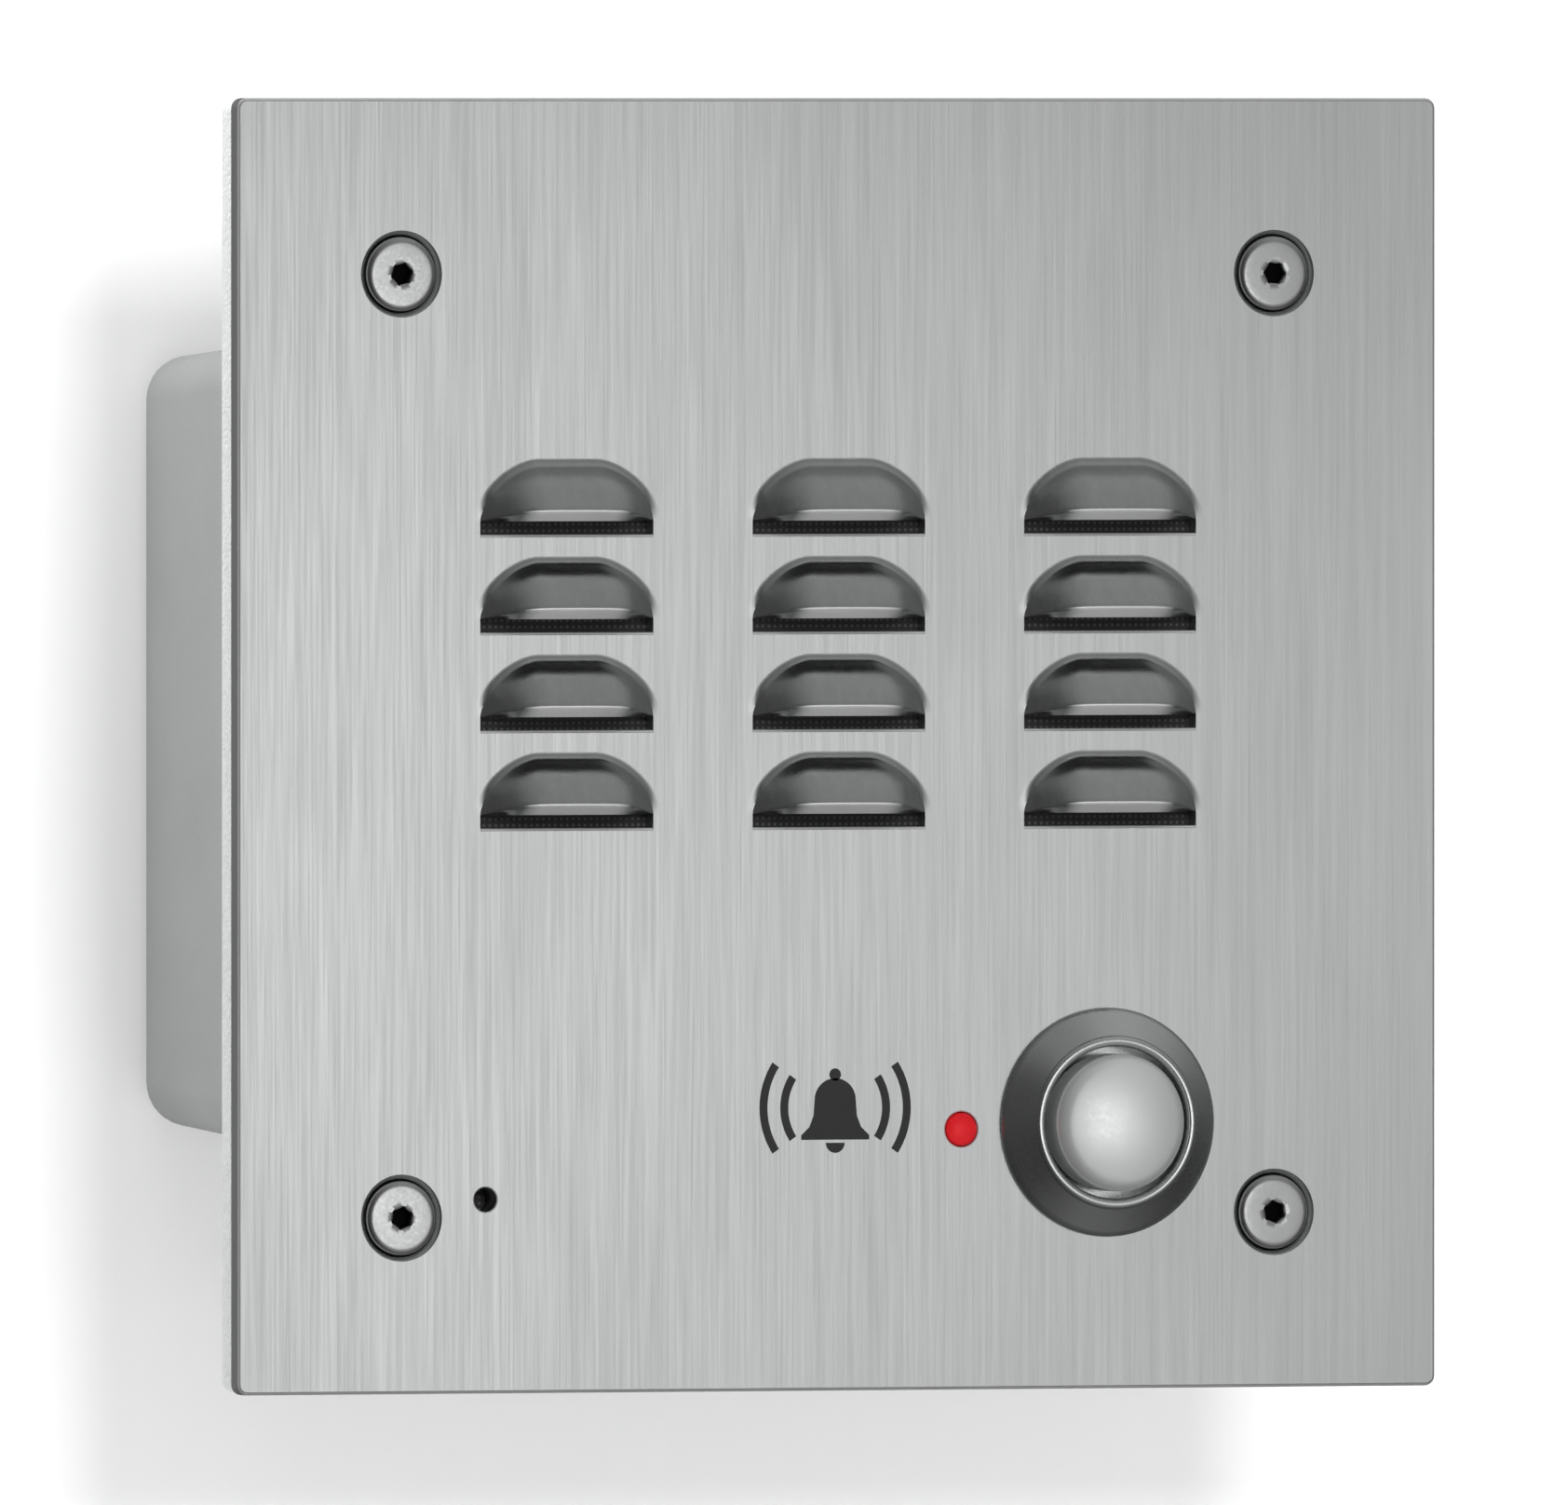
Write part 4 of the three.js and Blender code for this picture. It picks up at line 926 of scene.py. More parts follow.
def call_symbol():
    """A bell between sound waves, printed in black. It takes the place of lettering."""
    cx, cz, thick, stroke = -0.4, -35.9, 0.03, 0.84

    def printed(outline):
        turned = sum(a[0] * b[1] - b[0] * a[1] for a, b in zip(outline, outline[1:] + outline[:1]))
        outline = outline if turned > 0 else outline[::-1]
        outline = [(cx + x, cz + z) for x, z in outline]
        return prism(outline, Y_FRONT - thick, Y_FRONT + 0.01, edge=0.01, steps=1)

    half = [(0.0, 3.1), *arc((0.0, 0.9), 2.2, 90, 12, 10)[1:]]
    half += [(2.3, -0.6), (2.75, -1.7), (3.6, -2.5), (3.6, -2.95), (0.0, -2.95)]
    body = half + [(-x, z) for x, z in reversed(half[1:-1])]
    parts = [printed(body), printed(circle(0, 3.45, 0.62, 24)), printed(arc((0, -3.25), 1.0, 180, 360, 14))]
    for radius in (5.4, 7.6):  # sound waves
        for side in (0, 180):
            outer = arc((0, 0.2), radius + stroke / 2, side - 34, side + 34, 16)
            inner = arc((0, 0.2), radius - stroke / 2, side + 34, side - 34, 16)
            parts.append(printed(outer + inner))
    show(join(*parts), "call_symbol", "ink", slot="black_plastic")


call_bezel()
call_cap()
call_spring()
nut("call_button_nut", 9.6, 1.2)
switch_module()
lamp()
microphone()
call_symbol()


# ---- gasket and housing ----
def gasket():
    """Square of foam with one large opening, behind the sheet."""
    low, high = node_box("panel_gasket")
    size = high.x - low.x
    opening = rounded_rectangle(0, 0, 104, 104, 3)
    foam_sheet = prism(rounded_rectangle(0, 0, size, size, 1.2), low.y, high.y, [opening], 0.35)
    show(foam_sheet, "gasket_sheet", "gasket_foam", stands_for="panel_gasket")


def rear_housing():
    """Drafted tray, open towards the faceplate, with its windows and screw wells in the rear wall."""
    low, high = node_box("rear_housing")
    rear, wall, corner, rounding, rim = high.y, 2.2, 4.5, 1.5, 0.3
    draft = math.tan(math.radians(3))
    half_x, half_z = (half - (rear - low.y) * draft for half in (high.x, high.z))

    def outline(y, inset, radius):
        grow = (rear - y) * draft - inset
        loop = rounded_rectangle(0, 0, 2 * (half_x + grow), 2 * (half_z + grow), radius)
        return [(x, y, z) for x, z in loop]

    skins = [outline(y, wall, corner - wall) for y in (rear - wall, low.y + rim)]
    skins += [outline(low.y, wall - rim, corner - wall + rim), outline(low.y, rim, corner - rim)]
    skins += [outline(y, 0.0, corner) for y in (low.y + rim, low.y + 8, rear - 8)]
    for k in range(7):
        a = math.pi / 2 * k / 6
        inset = rounding * (1 - math.cos(a))
        skins.append(outline(rear - rounding + rounding * math.sin(a), inset, corner - k * 0.12))
    bm = bmesh.new()
    rows = [vertices(bm, points) for points in skins]
    skin(bm, rows)
    bm.faces.new(rows[0])
    bm.faces.new(rows[-1])

    inside, past = rear - wall, rear + 1
    cutters = []

    def drill(outline, start=inside - 1):
        cutters.append(prism(outline, start, past, edge=0))

    for node, margin, tall in (("terminal_block", 0.5, 0), ("dip_switch_body", 1.0, 11)):
        a, b = node_box(node)
        middle, width, height = (a + b) / 2, b.x - a.x + 2 * margin, tall or b.z - a.z + 2 * margin
        drill(rounded_rectangle(middle.x, middle.z, width, height, 0.6, 3))
    for node, radius in (("learn_switch_button", 2.6), ("volume_pot_rotor", 3.4), ("mic_pot_rotor", 3.4)):
        middle = node_middle(node)
        drill(circle(middle.x, middle.z, radius))
    for middle in four_middles("housing_screw"):
        drill(circle(middle.x, middle.z, 1.9, 32))
        drill(circle(middle.x, middle.z, 3.35), rear - 1.4)
    for x in (-30, -10, 10, 30):  # vents in the upper wall and drains in the lower one
        for z in (-40, 40):
            cutters.append(block((x - 6, 31, z - 14), (x + 6, 33.5, z + 14), 0))
    shell = cut(bm, *cutters)
    boss = [(1.95, 42.65), (4.2, 42.65), (4.3, inside + 0.3), (1.95, inside + 0.3)]
    for middle in four_middles("housing_screw"):
        shell = join(shell, moved(lathe(eased(boss, 0.2, closed=True), 32, True), middle.x, 0, middle.z))
    show(shell, "housing_shell", "grey_housing", stands_for="rear_housing")


def housing_screw(index):
    """Pan-head screw with a cross recess."""
    name = f"housing_screw_{index}"
    low, high = node_box(name)
    middle, head, long, wide = (low + high) / 2, high.y - 2.2, 1.7, 0.33
    rings = [ring(0, low.y), ring(1.1, low.y)] + thread(1.74, low.y + 0.5, head - 1.4, 0.79, 0.38)
    pan = [(1.74, head), (3.1, head), (3.1, head + 1.1), (2.4, head + 1.9)]
    rings += [ring(r, y) for r, y in eased(pan, 0.3)]
    rings += [ring(1.3, high.y - 0.05), ring(0, high.y)]
    recess = [block((-x, head + 1, -z), (x, head + 4, z), 0) for x, z in ((long, wide), (wide, long))]
    show(moved(cut(loft(rings), *recess), middle.x, 0, middle.z, 23 * index), f"{name}_fine", "zinc_plate",
         stands_for=name)


gasket()
rear_housing()
for number in range(1, 5):
    housing_screw(number)
    nut(f"spacer_{number}", 1.75)


# ---- small front pieces ----
def call_seal():
    """Rubber ring squeezed between the bezel's flange and the sheet."""
    section = [(9.62, -0.06), (9.62, -0.7), (10.1, -0.75), (10.75, -0.55), (10.75, -0.2), (10.1, -0.03)]
    show_turned("call_seal_ring", "black_rubber", section, CALL, 96, 0.2, True, stands_for="call_button_seal")


def call_clip():
    """Spring clip in the stem's groove: open on one side, with three lobes that grip."""
    low, high = node_box("call_button_clip")
    opening, outer = 32, (high.x - low.x) / 2
    inner = []
    for k in range(61):
        a = math.radians(opening + (360 - 2 * opening) * k / 60)
        grip = 0.5 + 0.5 * math.cos(3 * a + math.pi)
        r = 2.15 + 1.0 * (1 - grip) ** 0.5
        inner.append((r * math.cos(a), r * math.sin(a)))
    outline = arc((0, 0), outer, opening, 360 - opening, 48) + inner[::-1]
    clip = prism(outline, low.y - Y_FRONT + 0.02, high.y - Y_FRONT - 0.02, edge=0.08, steps=2)
    show(moved(clip, *CALL, turn=90), "call_clip_ring", "zinc_plate", "call_button", "call_button_clip")


def weld_stud(name, x, z):
    """Threaded stud welded to the back of the sheet, with a little weld metal round its foot."""
    weld = [(0, -0.2), (2.3, -0.2), (2.2, 0.02), (1.75, 0.02)]
    rings = [ring(radius, Y_BACK + y, 32) for radius, y in weld]
    rings += thread(1.6, Y_BACK + 0.3, 4.5, 0.7, 0.36, 32) + [ring(1.1, 4.95, 32), ring(0, 5, 32)]
    show(moved(loft(rings), x, 0, z), name, "polished_steel")


call_seal()
call_clip()
for number in range(1, 5):
    for kind in ("speaker_nut", "spacer"):
        place = node_middle(f"{kind}_{number}")
        weld_stud(f"weld_stud_{kind}_{number}", place.x, place.z)


# ---- loudspeaker ----
SPEAKER_Z = node_middle("speaker_magnet").z
SPEAKER_STUD = node_middle("speaker_nut_1").x
SPEAKER_AT = (0, Y_BACK, SPEAKER_Z)
ROLL_R, CONE_R = 28.5, 25.5  # outer edges of the surround's roll and of the cone


def speaker_plate(low_y, high_y, side, opening, edge):
    """Square plate with one large round opening and a hole at each corner for a stud."""
    studs = [circle(sx * SPEAKER_STUD, sz * SPEAKER_STUD, 1.85, 24) for sx in (-1, 1) for sz in (-1, 1)]
    holes = [circle(0, 0, opening, 96), *studs]
    return prism(rounded_rectangle(0, 0, side, side, 5), low_y, high_y, holes, edge, 2)


def louvre_screen():
    """Cloth that keeps rain and insects out of the louvres."""
    low, high = node_box("louvre_screen")
    middle, size = (low + high) / 2, high - low
    cloth = prism(rounded_rectangle(middle.x, middle.z, size.x, size.z, 3), low.y, high.y, edge=0.12)
    show(cloth, "screen_cloth", "screen_black", stands_for="louvre_screen")


def speaker_seal():
    """Foam between the screen and the basket's flange."""
    low, high = node_box("speaker_gasket")
    seal = speaker_plate(low.y - Y_BACK, high.y - Y_BACK, high.x - low.x, ROLL_R, 0.25)
    show(moved(seal, *SPEAKER_AT), "speaker_seal", "gasket_foam", stands_for="speaker_gasket")


def speaker_basket():
    """Pressed basket: a flange, and a cone with four windows and a bead, which carries the magnet."""
    shell = [(28.9, 2.1), (28.9, 5.2), (25.2, 7.9), (24.2, 8.2), (22.9, 9.6), (17, 14), (9.2, 14),
             (9.2, 15.2), (18, 15.2), (24.0, 10.6), (25.0, 9.3), (26.0, 9.05), (30.1, 6), (30.1, 2.1)]
    outline = rounded_rectangle(0, 9.75, 18, 5.5, 1.4, 5)  # x and y of a window that faces +Z
    upright = Matrix(((1, 0, 0, 0), (0, 0, 1, 0), (0, 1, 0, 0), (0, 0, 0, 1)))
    windows = [moved(placed(prism(outline, 19, 40, edge=0), upright), turn=turn)
               for turn in (0, 90, 180, 270)]
    whole = cut(lathe(eased(shell, 0.5, closed=True), 96, True), *windows)
    whole = join(whole, speaker_plate(2, 3.2, 64, 29.0, 0.25))
    show(moved(whole, *SPEAKER_AT), "basket_pressing", "zinc_plate", stands_for="speaker_basket")


def surround():
    """Half roll between the basket and the cone."""
    middle, radius, thick, y = (ROLL_R + CONE_R) / 2 + 0.35, 1.15, 0.3, 3.45
    front = [(ROLL_R + 0.2, y), *arc((middle, y), radius, 0, -180, 10), (CONE_R + 0.12, y)]
    back = [(CONE_R + 0.12, y + thick), *arc((middle, y + thick), radius - thick * 0.4, -180, 0, 10),
            (ROLL_R + 0.2, y + thick)]
    show_turned("surround_roll", "black_rubber", front + back, SPEAKER_AT, 96, closed=True,
                stands_for="speaker_surround")


def diaphragm():
    """Curved paper cone with shallow ribs, its dust cap, and the voice coil's former."""
    neck_r, neck_y, edge_y, thick = 7.7, 10.9, 3.5, 0.4
    front = []
    for k in range(49):
        t = k / 48
        rib = 0.12 * math.cos(TAU * 5 * t) if 0.3 < t < 0.9 else 0.0
        y = edge_y + (neck_y - edge_y) * (0.75 * t + 0.25 * t * t) + rib
        front.append((CONE_R + (neck_r - CONE_R) * t, y))
    back = [(r, y + thick) for r, y in reversed(front)]
    former = [(neck_r - 0.3, 17.3), (neck_r, 17.3)]
    show_turned("cone_paper", "paper_cone", front + former + back, SPEAKER_AT, 96, closed=True,
                body="speaker_diaphragm", stands_for="speaker_cone")
    cap_r, cap_y, sphere = 7.3, 8.05, 11.1
    cap = [(r, cap_y + sphere - math.sqrt(sphere ** 2 - r ** 2)) for r in (cap_r * k / 12 for k in range(13))]
    cap += [(r, y + 0.35) for r, y in reversed(cap)]
    show_turned("dust_cap", "paper_cone", cap, SPEAKER_AT, 64, body="speaker_diaphragm")


def motor():
    """Ferrite ring, and the yoke whose pole fills the voice coil."""
    front, back = node_depth("speaker_magnet", Y_BACK)
    ferrite = [(11, front), (17, front), (17, back), (11, back)]
    show_turned("magnet_ring", "ferrite", ferrite, SPEAKER_AT, 96, 0.5, True, stands_for="speaker_magnet")
    front, back = node_depth("speaker_yoke", Y_BACK)
    plate, dimple = back - 1.8, back - 0.35
    yoke = [(0, front), (6.6, front), (6.6, plate), (15.5, plate), (15.5, back), (6.9, back), (6.5, dimple),
            (5.9, dimple), (5.5, back), (0, back)]
    show_turned("yoke_turning", "zinc_plate", yoke, SPEAKER_AT, 96, 0.3, stands_for="speaker_yoke")


def speaker_tag():
    """Strip of fibre board on the basket, with two solder lugs for the speaker's lead."""
    strip = block((1.2, 6.2, -17.1), (10.8, 16.2, -16.35), 0.15)
    show(strip, "speaker_tag_strip", "black_plastic")
    for side, x in (("left", 3.4), ("right", 8.6)):
        outline, hole = rounded_rectangle(x, 13.6, 2.2, 4.2, 1.0, 5), circle(x, 14.6, 0.5, 16)
        lug = prism(outline, 17.1, 17.45, [hole], 0.06, 1)
        placed(lug, Matrix(((1, 0, 0, 0), (0, 0, 1, 0), (0, -1, 0, 0), (0, 0, 0, 1))))
        show(lug, f"speaker_tag_lug_{side}", "zinc_plate")


louvre_screen()
speaker_seal()
speaker_basket()
surround()
diaphragm()
motor()
speaker_tag()
for number in range(1, 5):
    nut(f"speaker_nut_{number}", 1.62)


# ---- circuit board ----
BOARD_LOW, BOARD_HIGH = node_box("circuit_board")
BOARD_FRONT, BOARD_BACK = BOARD_LOW.y, BOARD_HIGH.y


def board():
    """Board with rounded corners and a plated hole for each of the housing's screws."""
    size = BOARD_HIGH - BOARD_LOW
    holes = [circle(middle.x, middle.z, 1.9, 24) for middle in four_middles("housing_screw")]
    laminate = prism(rounded_rectangle(0, 0, size.x, size.z, 2), BOARD_FRONT, BOARD_BACK, holes, 0.1, 1)
    show(laminate, "board_laminate", "board_green", stands_for="circuit_board")


def terminal_block():
    """Four ways side by side, each with a wire entry, a steel cage, and a well for its clamp screw."""
    low, high = node_box("terminal_block")
    ways = four_middles("terminal_screw")
    pitch, half_groove = ways[1].x - ways[0].x, 0.2
    back, past, entry_low, entry_high = high.y, high.y + 1, low.z + 1.3, low.z + 5.6
    middle_z = (entry_low + entry_high) / 2
    cutters = []
    for way in ways:
        cutters.append(block((way.x - 2.3, back - 6, entry_low), (way.x + 2.3, past, entry_high), 0))
        cutters.append(prism(circle(way.x, way.z, 2.6, 40), back - 5, past, edge=0))
    for way in ways[1:]:
        x0, x1 = way.x - pitch / 2 - half_groove, way.x - pitch / 2 + half_groove
        cutters.append(block((x0, back - 0.6, low.z - 1), (x1, past, high.z + 1), 0))
    moulding = cut(block(low, high, 0.35), *cutters)
    show(moulding, "terminal_moulding", "terminal_green", stands_for="terminal_block")
    for index, way in enumerate(ways, 1):
        outside, opening = (rounded_rectangle(way.x, middle_z, width, width - 0.3, radius, 3)
                            for width, radius in ((4.5, 0.4), (3.5, 0.3)))
        cage = prism(outside, back - 5.9, back - 2.2, [opening], 0.08, 1)
        show(cage, f"terminal_cage_{index}", "zinc_plate")
        name = f"terminal_screw_{index}"
        foot, top = node_depth(name)
        head = [(0, foot), (1.5, foot), (1.5, top - 1.6), (2.25, top - 1.4), (2.25, top), (0, top)]
        slotted = cut(lathe(eased(head, 0.25), 48), block((-3, top - 0.75, -0.36), (3, top + 1, 0.36), 0))
        show(moved(slotted, way.x, 0, way.z, 31 * index), f"{name}_fine", "zinc_plate", stands_for=name)


def dip_switch():
    """Row of four slide switches. Each lever has its own body."""
    low, high = node_box("dip_switch_body")
    travel, past = 1.6, high.y + 1
    cutters = []
    for index in range(1, 5):
        name = f"dip_lever_{index}"
        a, b = node_box(name)
        z = (a.z + b.z) / 2
        top = b.z + travel + 0.2
        cutters.append(block((a.x - 0.15, high.y - 1.6, a.z - 0.2), (b.x + 0.15, past, top), 0))
        slider = block(a, (b.x, high.y + 0.1, b.z), 0.08)
        knob = block((a.x + 0.1, high.y - 0.4, z - 0.55), (b.x - 0.1, b.y, z + 0.55), 0.15)
        show(join(slider, knob), f"{name}_fine", "white_plastic", name.replace("lever_", "lever_body_"), name)
    cutters.append(prism(circle(low.x + 1.1, high.z - 1.1, 0.45, 20), high.y - 0.25, past, edge=0))
    show(cut(block(low, high, 0.25), *cutters), "dip_moulding", "switch_red", stands_for="dip_switch_body")


def trimmer(name, body):
    """Square trimmer with a round rotor, which has a slot for a screwdriver and a pointer notch."""
    low, high = node_box(f"{name}_body")
    middle, past = (low + high) / 2, high.y + 1
    cutters = [prism(circle(middle.x, middle.z, 2.4), high.y - 1.5, past, edge=0)]
    for x in (low.x - 0.1, high.x - 0.5):  # a nick at either side shows the middle of the rotor's turn
        cutters.append(block((x, high.y - 0.4, middle.z - 0.25), (x + 0.6, past, middle.z + 0.25), 0))
    show(cut(block(low, high, 0.3), *cutters), f"{name}_case", "pot_blue", stands_for=f"{name}_body")
    front, back = node_depth(f"{name}_rotor")
    rotor = lathe(eased([(0, front), (2.22, front), (2.22, back), (0, back)], 0.2), 48)
    slot = block((-3, back - 0.8, -0.35), (3, back + 1, 0.35), 0)
    notch = block((-0.3, back - 0.3, 0), (0.3, back + 1, 3), 0)
    show(moved(cut(rotor, slot, notch), middle.x, 0, middle.z), f"{name}_rotor_fine", "white_plastic", body,
         stands_for=f"{name}_rotor")


def learn_switch():
    """Tact switch with a steel cover held by four posts, and a button that reaches the housing's window."""
    low, high = node_box("learn_switch_body")
    middle, sheet = (low + high) / 2, 0.3
    well = prism(circle(middle.x, middle.z, 1.9, 40), high.y - 1.6, high.y + 1, edge=0)
    show(cut(block(low, (high.x, high.y - sheet, high.z), 0.2), well), "learn_case", "black_plastic",
         stands_for="learn_switch_body")
    cover = prism(rounded_rectangle(middle.x, middle.z, 5.7, 5.7, 0.6, 4), high.y - sheet, high.y,
                  [circle(middle.x, middle.z, 1.95, 40)], 0.06, 1)
    post = eased([(0, high.y - 0.1), (0.42, high.y - 0.1), (0.42, high.y + 0.15), (0, high.y + 0.2)], 0.1)
    posts = [moved(lathe(post, 20), middle.x + x, 0, middle.z + z) for x in (-2.2, 2.2) for z in (-2.2, 2.2)]
    show(join(cover, *posts), "learn_cover", "zinc_plate")
    front, back = node_depth("learn_switch_button")
    plunger = [(0, front), (1.72, front), (1.72, back - 0.3), (1.45, back), (1.1, back), (0.9, back - 0.08),
               (0, back - 0.15)]
    show_turned("learn_plunger", "switch_red", plunger, (middle.x, 0, middle.z), 40, 0.2, body="learn_button",
                stands_for="learn_switch_button")


def relay():
    """Sealed relay: a case with a lid seam and a small vent nib."""
    low, high = node_box("door_relay")
    seam, inset = high.y - 1.6, 0.25
    case = block(low, (high.x, seam, high.z), 0.5, 3)
    base = block((low.x + inset, seam - 0.2, low.z + inset), (high.x - inset, high.y, high.z - inset), 0.15)
    nib = eased([(0, low.y + 0.35), (0.9, low.y + 0.35), (0.9, low.y + 0.02), (0, low.y + 0.02)], 0.15)
    nib = moved(lathe(nib, 24), high.x - 3, 0, high.z - 3)
    show(join(case, base, nib), "relay_case", "relay_black", stands_for="door_relay")


def transformer():
    """Small transformer: a stack of steel laminations around a taped winding."""
    low, high = node_box("line_transformer")
    leg, sheet, gap = 1.9, 0.5, 0.04
    core_front, core_low, core_high = low.y + 1.5, low.z + 2, high.z - 2
    legs = [(low.x, core_front, low.x + leg), (high.x - leg, core_front, high.x),
            (low.x + leg, high.y - leg + 0.4, high.x - leg)]  # left, right and the yoke behind the winding
    stack = []
    for k in range(round((core_high - core_low) / sheet)):
        z0, z1 = core_low + k * sheet + gap / 2, core_low + (k + 1) * sheet - gap / 2
        stack += [block((x0, y, z0), (x1, high.y, z1), 0.05, 1) for x0, y, x1 in legs]
    show(join(*stack), "transformer_core", "zinc_plate", slot="transformer_tape")
    inside = leg + 0.1
    winding = block((low.x + inside, low.y, low.z), (high.x - inside, high.y - leg + 0.35, high.z), 1.2, 3)
    show(winding, "transformer_winding", "transformer_tape", stands_for="line_transformer")


def on_board(x, z, width, height, thick, edge, steps=2, lift=0.0):
    """A block on the front of the board, round a middle."""
    low = (x - width / 2, BOARD_FRONT - thick - lift, z - height / 2)
    return block(low, (x + width / 2, BOARD_FRONT - lift, z + height / 2), edge, steps)


def chip(name, x, z, width, height, pins):
    """Chip with a row of pins above and below it."""
    show(on_board(x, z, width, height, 1.6, 0.15, lift=0.1), f"{name}_body", "black_plastic")
    first, pitch, out = x - width / 2 + 0.5, (width - 1) / (pins - 1), height / 2 + 0.5
    legs = [on_board(first + pitch * k, z + side * out, 0.4, 1.1, 0.7, 0.08, 1)
            for k in range(pins) for side in (-1, 1)]
    show(join(*legs), f"{name}_legs", "zinc_plate")


def capacitor(name, x, z, radius, length):
    """Aluminium can with a crimp above its foot."""
    profile = [(0, -length), (radius * 0.8, -length), (radius, -length + 0.4), (radius, -1.6),
               (radius - 0.25, -1.3), (radius, -1.0), (radius, 0), (0, 0)]
    show_turned(name, "aluminium_can", profile, (x, BOARD_FRONT, z), 40, 0.2)


def resistors():
    """Chip resistors on the front of the board. Their places are drawn at random from free cells."""
    draw = random.Random(7)
    across, up, filled = 4.2, 3.4, 0.55  # pitch of the cells, and share of them that are filled
    bodies, ends = [], []
    for column in range(-9, 5):
        for row in range(-2, 4):
            if draw.random() < 1 - filled:
                continue
            x, z = column * across + draw.uniform(-0.4, 0.4), -2 + row * up + draw.uniform(-0.3, 0.3)
            under_processor, under_lead = -12 < x < 6 and 6 < z < 22, x < -20 and z < -3
            if under_processor or under_lead:
                continue
            bodies.append(on_board(x, z, 1.1, 0.8, 0.55, 0.05, 1))
            ends += [on_board(x + side * 0.8, z, 0.52, 0.86, 0.6, 0.06, 1) for side in (-1, 1)]
    show(join(*bodies), "resistors", "black_plastic")
    show(join(*ends), "resistor_ends", "zinc_plate")


# ---- leads ----
LEAD_END = BOARD_FRONT - 0.1
LEADS = {
    "speaker_lead": (0.75, [(6, 15, -16.5), (10, 20, -20), (15, 25, -14), (16, 32, -4), (16, 37, 0),
                            (16, LEAD_END, 0)]),
    "mic_lead": (0.6, [(-37.4, 3.9, -44.5), (-37.4, 12, -43.5), (-33, 22, -38), (-22, 30, -30),
                       (-16, 36, -26), (-16, LEAD_END, -26)]),
    "led_lead": (0.55, [(13, 0.8, -37.9), (13, 6, -37.9), (8, 16, -36), (2, 27, -31), (0, 36, -28),
                        (0, LEAD_END, -28)]),
    "call_lead": (0.7, [(28.4, 20, -37.3), (28.4, 24, -35.3), (25, 29, -31), (22, 34, -27), (21, 37, -26),
                        (21, LEAD_END, -26)]),
}


def lead(name, radius, points):
    """Two insulated wires twisted round each other, which end in a plug on the board."""
    wires = [tube(points, radius * 0.5, 10, 14, radius * 0.5, side) for side in (0, math.pi)]
    show(join(*wires), f"{name}_wires", "lead_grey", stands_for=name)
    x, y, z = points[-1]
    plug = block((x - 2.5, y - 5.5, z - 1.9), (x + 2.5, BOARD_FRONT - 0.02, z + 1.9), 0.3)
    latch = block((x - 1.0, y - 4.8, z - 2.5), (x + 1.0, y - 1.2, z - 1.7), 0.15)
    show(join(plug, latch), f"{name}_plug", "white_plastic")


board()
terminal_block()
dip_switch()
trimmer("volume_pot", "volume_trimmer")
trimmer("mic_pot", "microphone_trimmer")
learn_switch()
relay()
transformer()
chip("processor", -3, 14, 12, 9, 14)
chip("amplifier", 4, -12, 8, 4, 8)
capacitor("capacitor_1", -22, 26, 3.1, 8)
capacitor("capacitor_2", -13.5, 27, 3.1, 8)
capacitor("capacitor_3", 12, -18, 2.5, 6.5)
resistors()
for lead_name, (lead_radius, lead_points) in LEADS.items():
    lead(lead_name, lead_radius, lead_points)


# ---- CAD nodes that stay ----
for subpart in frame["record"]["subparts"]:
    node = frame["nodes"][subpart["node"]]
    node.data.materials.clear()
    node.data.materials.append(MATERIALS[subpart["material_slot"]])


# ---- stage ----
BACKDROP_GLOW = 0.18


def backdrop_material(name, one_sided):
    """Matt white. A one-sided card glows a little, and is clear from behind."""
    material = bpy.data.materials.new(name)
    material.use_nodes = True
    nodes, links = material.node_tree.nodes, material.node_tree.links
    shader = nodes["Principled BSDF"]
    shader.inputs["Base Color"].default_value = (0.9, 0.9, 0.9, 1)
    shader.inputs["Roughness"].default_value = 0.9
    if one_sided:
        clear = nodes.new("ShaderNodeBsdfTransparent")
        mix = nodes.new("ShaderNodeMixShader")
        links.new(nodes.new("ShaderNodeNewGeometry").outputs["Backfacing"], mix.inputs[0])
        links.new(shader.outputs[0], mix.inputs[1])
        links.new(clear.outputs[0], mix.inputs[2])
        links.new(mix.outputs[0], nodes["Material Output"].inputs["Surface"])
        shader.inputs["Emission Color"].default_value = (1, 1, 1, 1)
        shader.inputs["Emission Strength"].default_value = BACKDROP_GLOW
    return material


def card(name, corners, one_sided=False):
    """A flat card that shiny surfaces don't see."""
    mesh = bpy.data.meshes.new(name)
    mesh.from_pydata([Vector(c) for c in corners], [], [(0, 1, 2, 3)])
    obj = linked(name, mesh)
    mesh.materials.append(backdrop_material(name, one_sided))
    obj.visible_glossy = False


CARD_Y, CARD_HALF = 0.0535, 0.6
FLOOR_Z, FLOOR_HALF = -0.25, 1.5
card("backdrop", [(-CARD_HALF, CARD_Y, FLOOR_Z), (CARD_HALF, CARD_Y, FLOOR_Z), (CARD_HALF, CARD_Y, CARD_HALF),
                  (-CARD_HALF, CARD_Y, CARD_HALF)], one_sided=True)
card("floor", [(x * FLOOR_HALF, y * FLOOR_HALF, FLOOR_Z) for x, y in ((-1, -1), (1, -1), (1, 1), (-1, 1))])


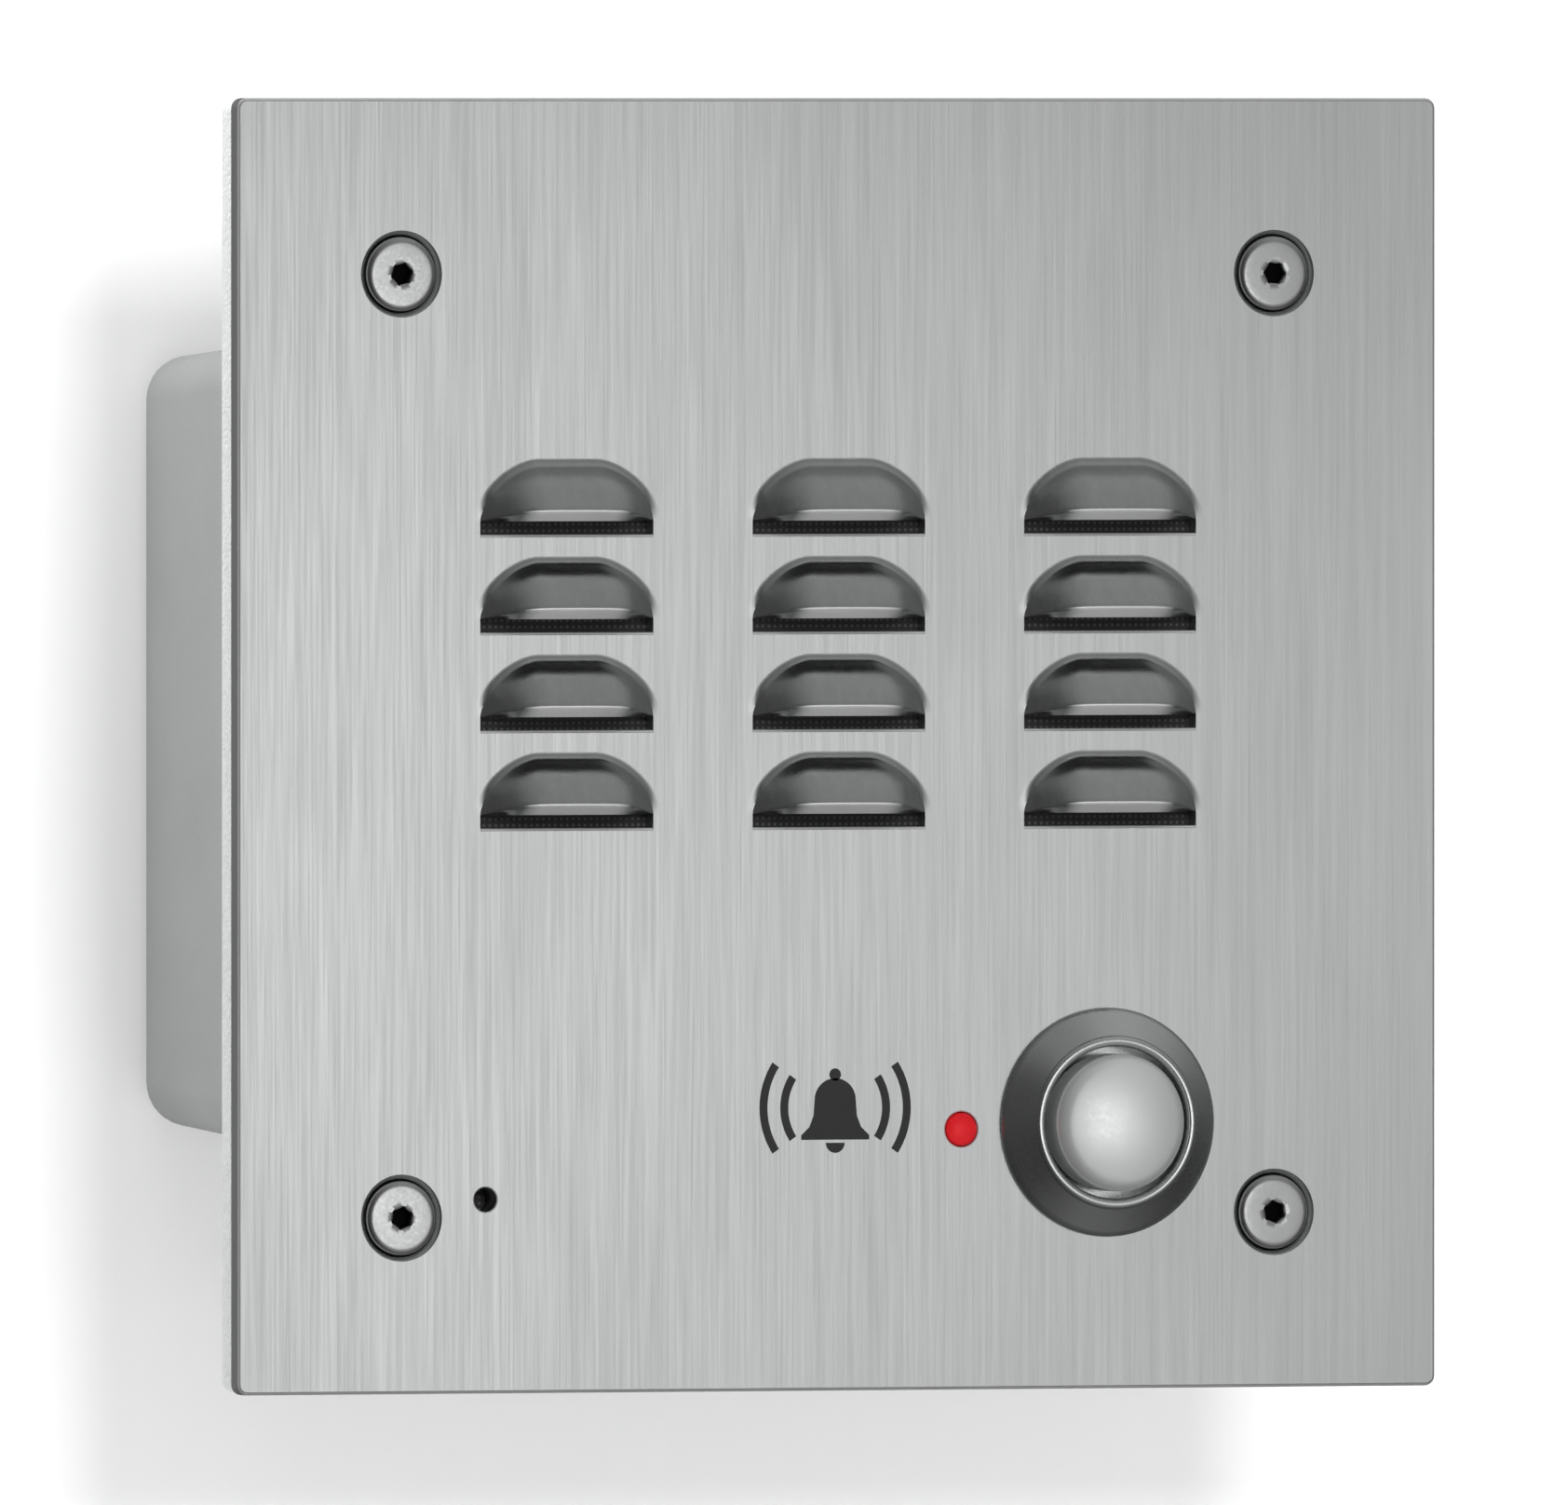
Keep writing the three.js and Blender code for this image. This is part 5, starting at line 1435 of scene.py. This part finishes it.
def area_light(name, azimuth, elevation, distance, size, watts, target=(0, 0, 0)):
    """A soft square light that stands in the direction given, in degrees, and faces the target."""
    data = bpy.data.lights.new(name, "AREA")
    data.shape, data.size, data.energy = "SQUARE", size, watts
    obj = linked(name, data)
    away = direction(azimuth, elevation)
    obj.location = Vector(target) + away * distance
    obj.rotation_euler = away.to_track_quat("Z", "Y").to_euler()
    return obj


# What shiny surfaces reflect, as soft lobes: azimuth and elevation in degrees, how narrow, and how bright.
REFLECTED = [(20, -4, 10, 0.46), (22, 38, 16, 0.2), (22, -36, 8, 0.18), (30, 78, 5, 0.21), (80, 45, 5, 0.28),
             (-60, 20, 4, 0.04), (-35, 50, 25, 0.12), (25, -75, 5, 0.05), (190, 20, 2, 0.3)]
REFLECTED_BASE = 0.035
SOFT_FILL = 0.38  # what lights everything else evenly
BACKGROUND = 0.97  # what the camera sees beyond the backdrop


def world():
    """Dim surroundings with soft lobes for shiny surfaces, an even fill, and a pale background."""
    scene_world = bpy.data.worlds.new("studio")
    bpy.context.scene.world = scene_world
    scene_world.use_nodes = True
    nodes, links = scene_world.node_tree.nodes, scene_world.node_tree.links
    looking = nodes.new("ShaderNodeTexCoord").outputs["Generated"]
    light_path = nodes.new("ShaderNodeLightPath")

    def calculate(operation, *values):
        node = nodes.new("ShaderNodeMath")
        node.operation = operation
        for socket, value in zip(node.inputs, values):
            if isinstance(value, bpy.types.NodeSocket):
                links.new(value, socket)
            else:
                socket.default_value = value
        return node.outputs[0]

    def blend(share, first, second):
        """first where share is 0, second where it is 1."""
        return calculate("MULTIPLY_ADD", share, calculate("SUBTRACT", second, first), first)

    reflected = REFLECTED_BASE
    for azimuth, elevation, narrow, bright in REFLECTED:
        dot = nodes.new("ShaderNodeVectorMath")
        dot.operation = "DOT_PRODUCT"
        links.new(looking, dot.inputs[0])
        dot.inputs[1].default_value = direction(azimuth, elevation)
        lobe = calculate("POWER", calculate("MAXIMUM", dot.outputs["Value"], 0.0), float(narrow))
        reflected = calculate("MULTIPLY_ADD", lobe, bright, reflected)
    strength = blend(light_path.outputs["Is Glossy Ray"], SOFT_FILL, reflected)
    strength = blend(light_path.outputs["Is Camera Ray"], strength, BACKGROUND)
    links.new(strength, nodes["Background"].inputs["Strength"])
    nodes["Background"].inputs["Color"].default_value = (1, 1, 1, 1)


world()
soft_key = area_light("key", -4, 16, 1.6, 0.45, 18)
side_light = area_light("side light", -75, 66, 0.15, 0.11, 0.18, target=(-0.05, 0.03, 0.035))
for light in (soft_key, side_light):
    light.visible_glossy = False
area_light("softbox", 9, -2.5, 0.6, 0.3, 0.34).data.shape = "DISK"

# ---- camera ----
CAMERA_AZIMUTH, CAMERA_ELEVATION = -22, 0.6  # degrees: the photo's viewing angle
CAMERA_DISTANCE = 6.0
SENSOR = 36.0
VIEW_WIDTH = 0.1541  # width of the frame at the object, in metres
VIEW_RIGHT, VIEW_UP = -0.0054, -0.0008  # the panel sits a little right of and above the frame's middle


def camera():
    """A long lens at the photo's viewing angle, so that the panel's upright edges stay upright."""
    data = bpy.data.cameras.new("camera")
    data.sensor_width = SENSOR
    data.lens = SENSOR * CAMERA_DISTANCE / VIEW_WIDTH
    data.clip_end = 50
    obj = linked("camera", data)
    away, right = direction(CAMERA_AZIMUTH, CAMERA_ELEVATION), direction(CAMERA_AZIMUTH + 90, 0)
    target = Vector((0, Y_FRONT * MM, 0)) + right * VIEW_RIGHT + away.cross(right) * VIEW_UP
    obj.location = target + away * CAMERA_DISTANCE
    obj.rotation_euler = away.to_track_quat("Z", "Y").to_euler()
    bpy.context.scene.camera = obj


camera()
bpy.context.scene.view_settings.view_transform = "Standard"
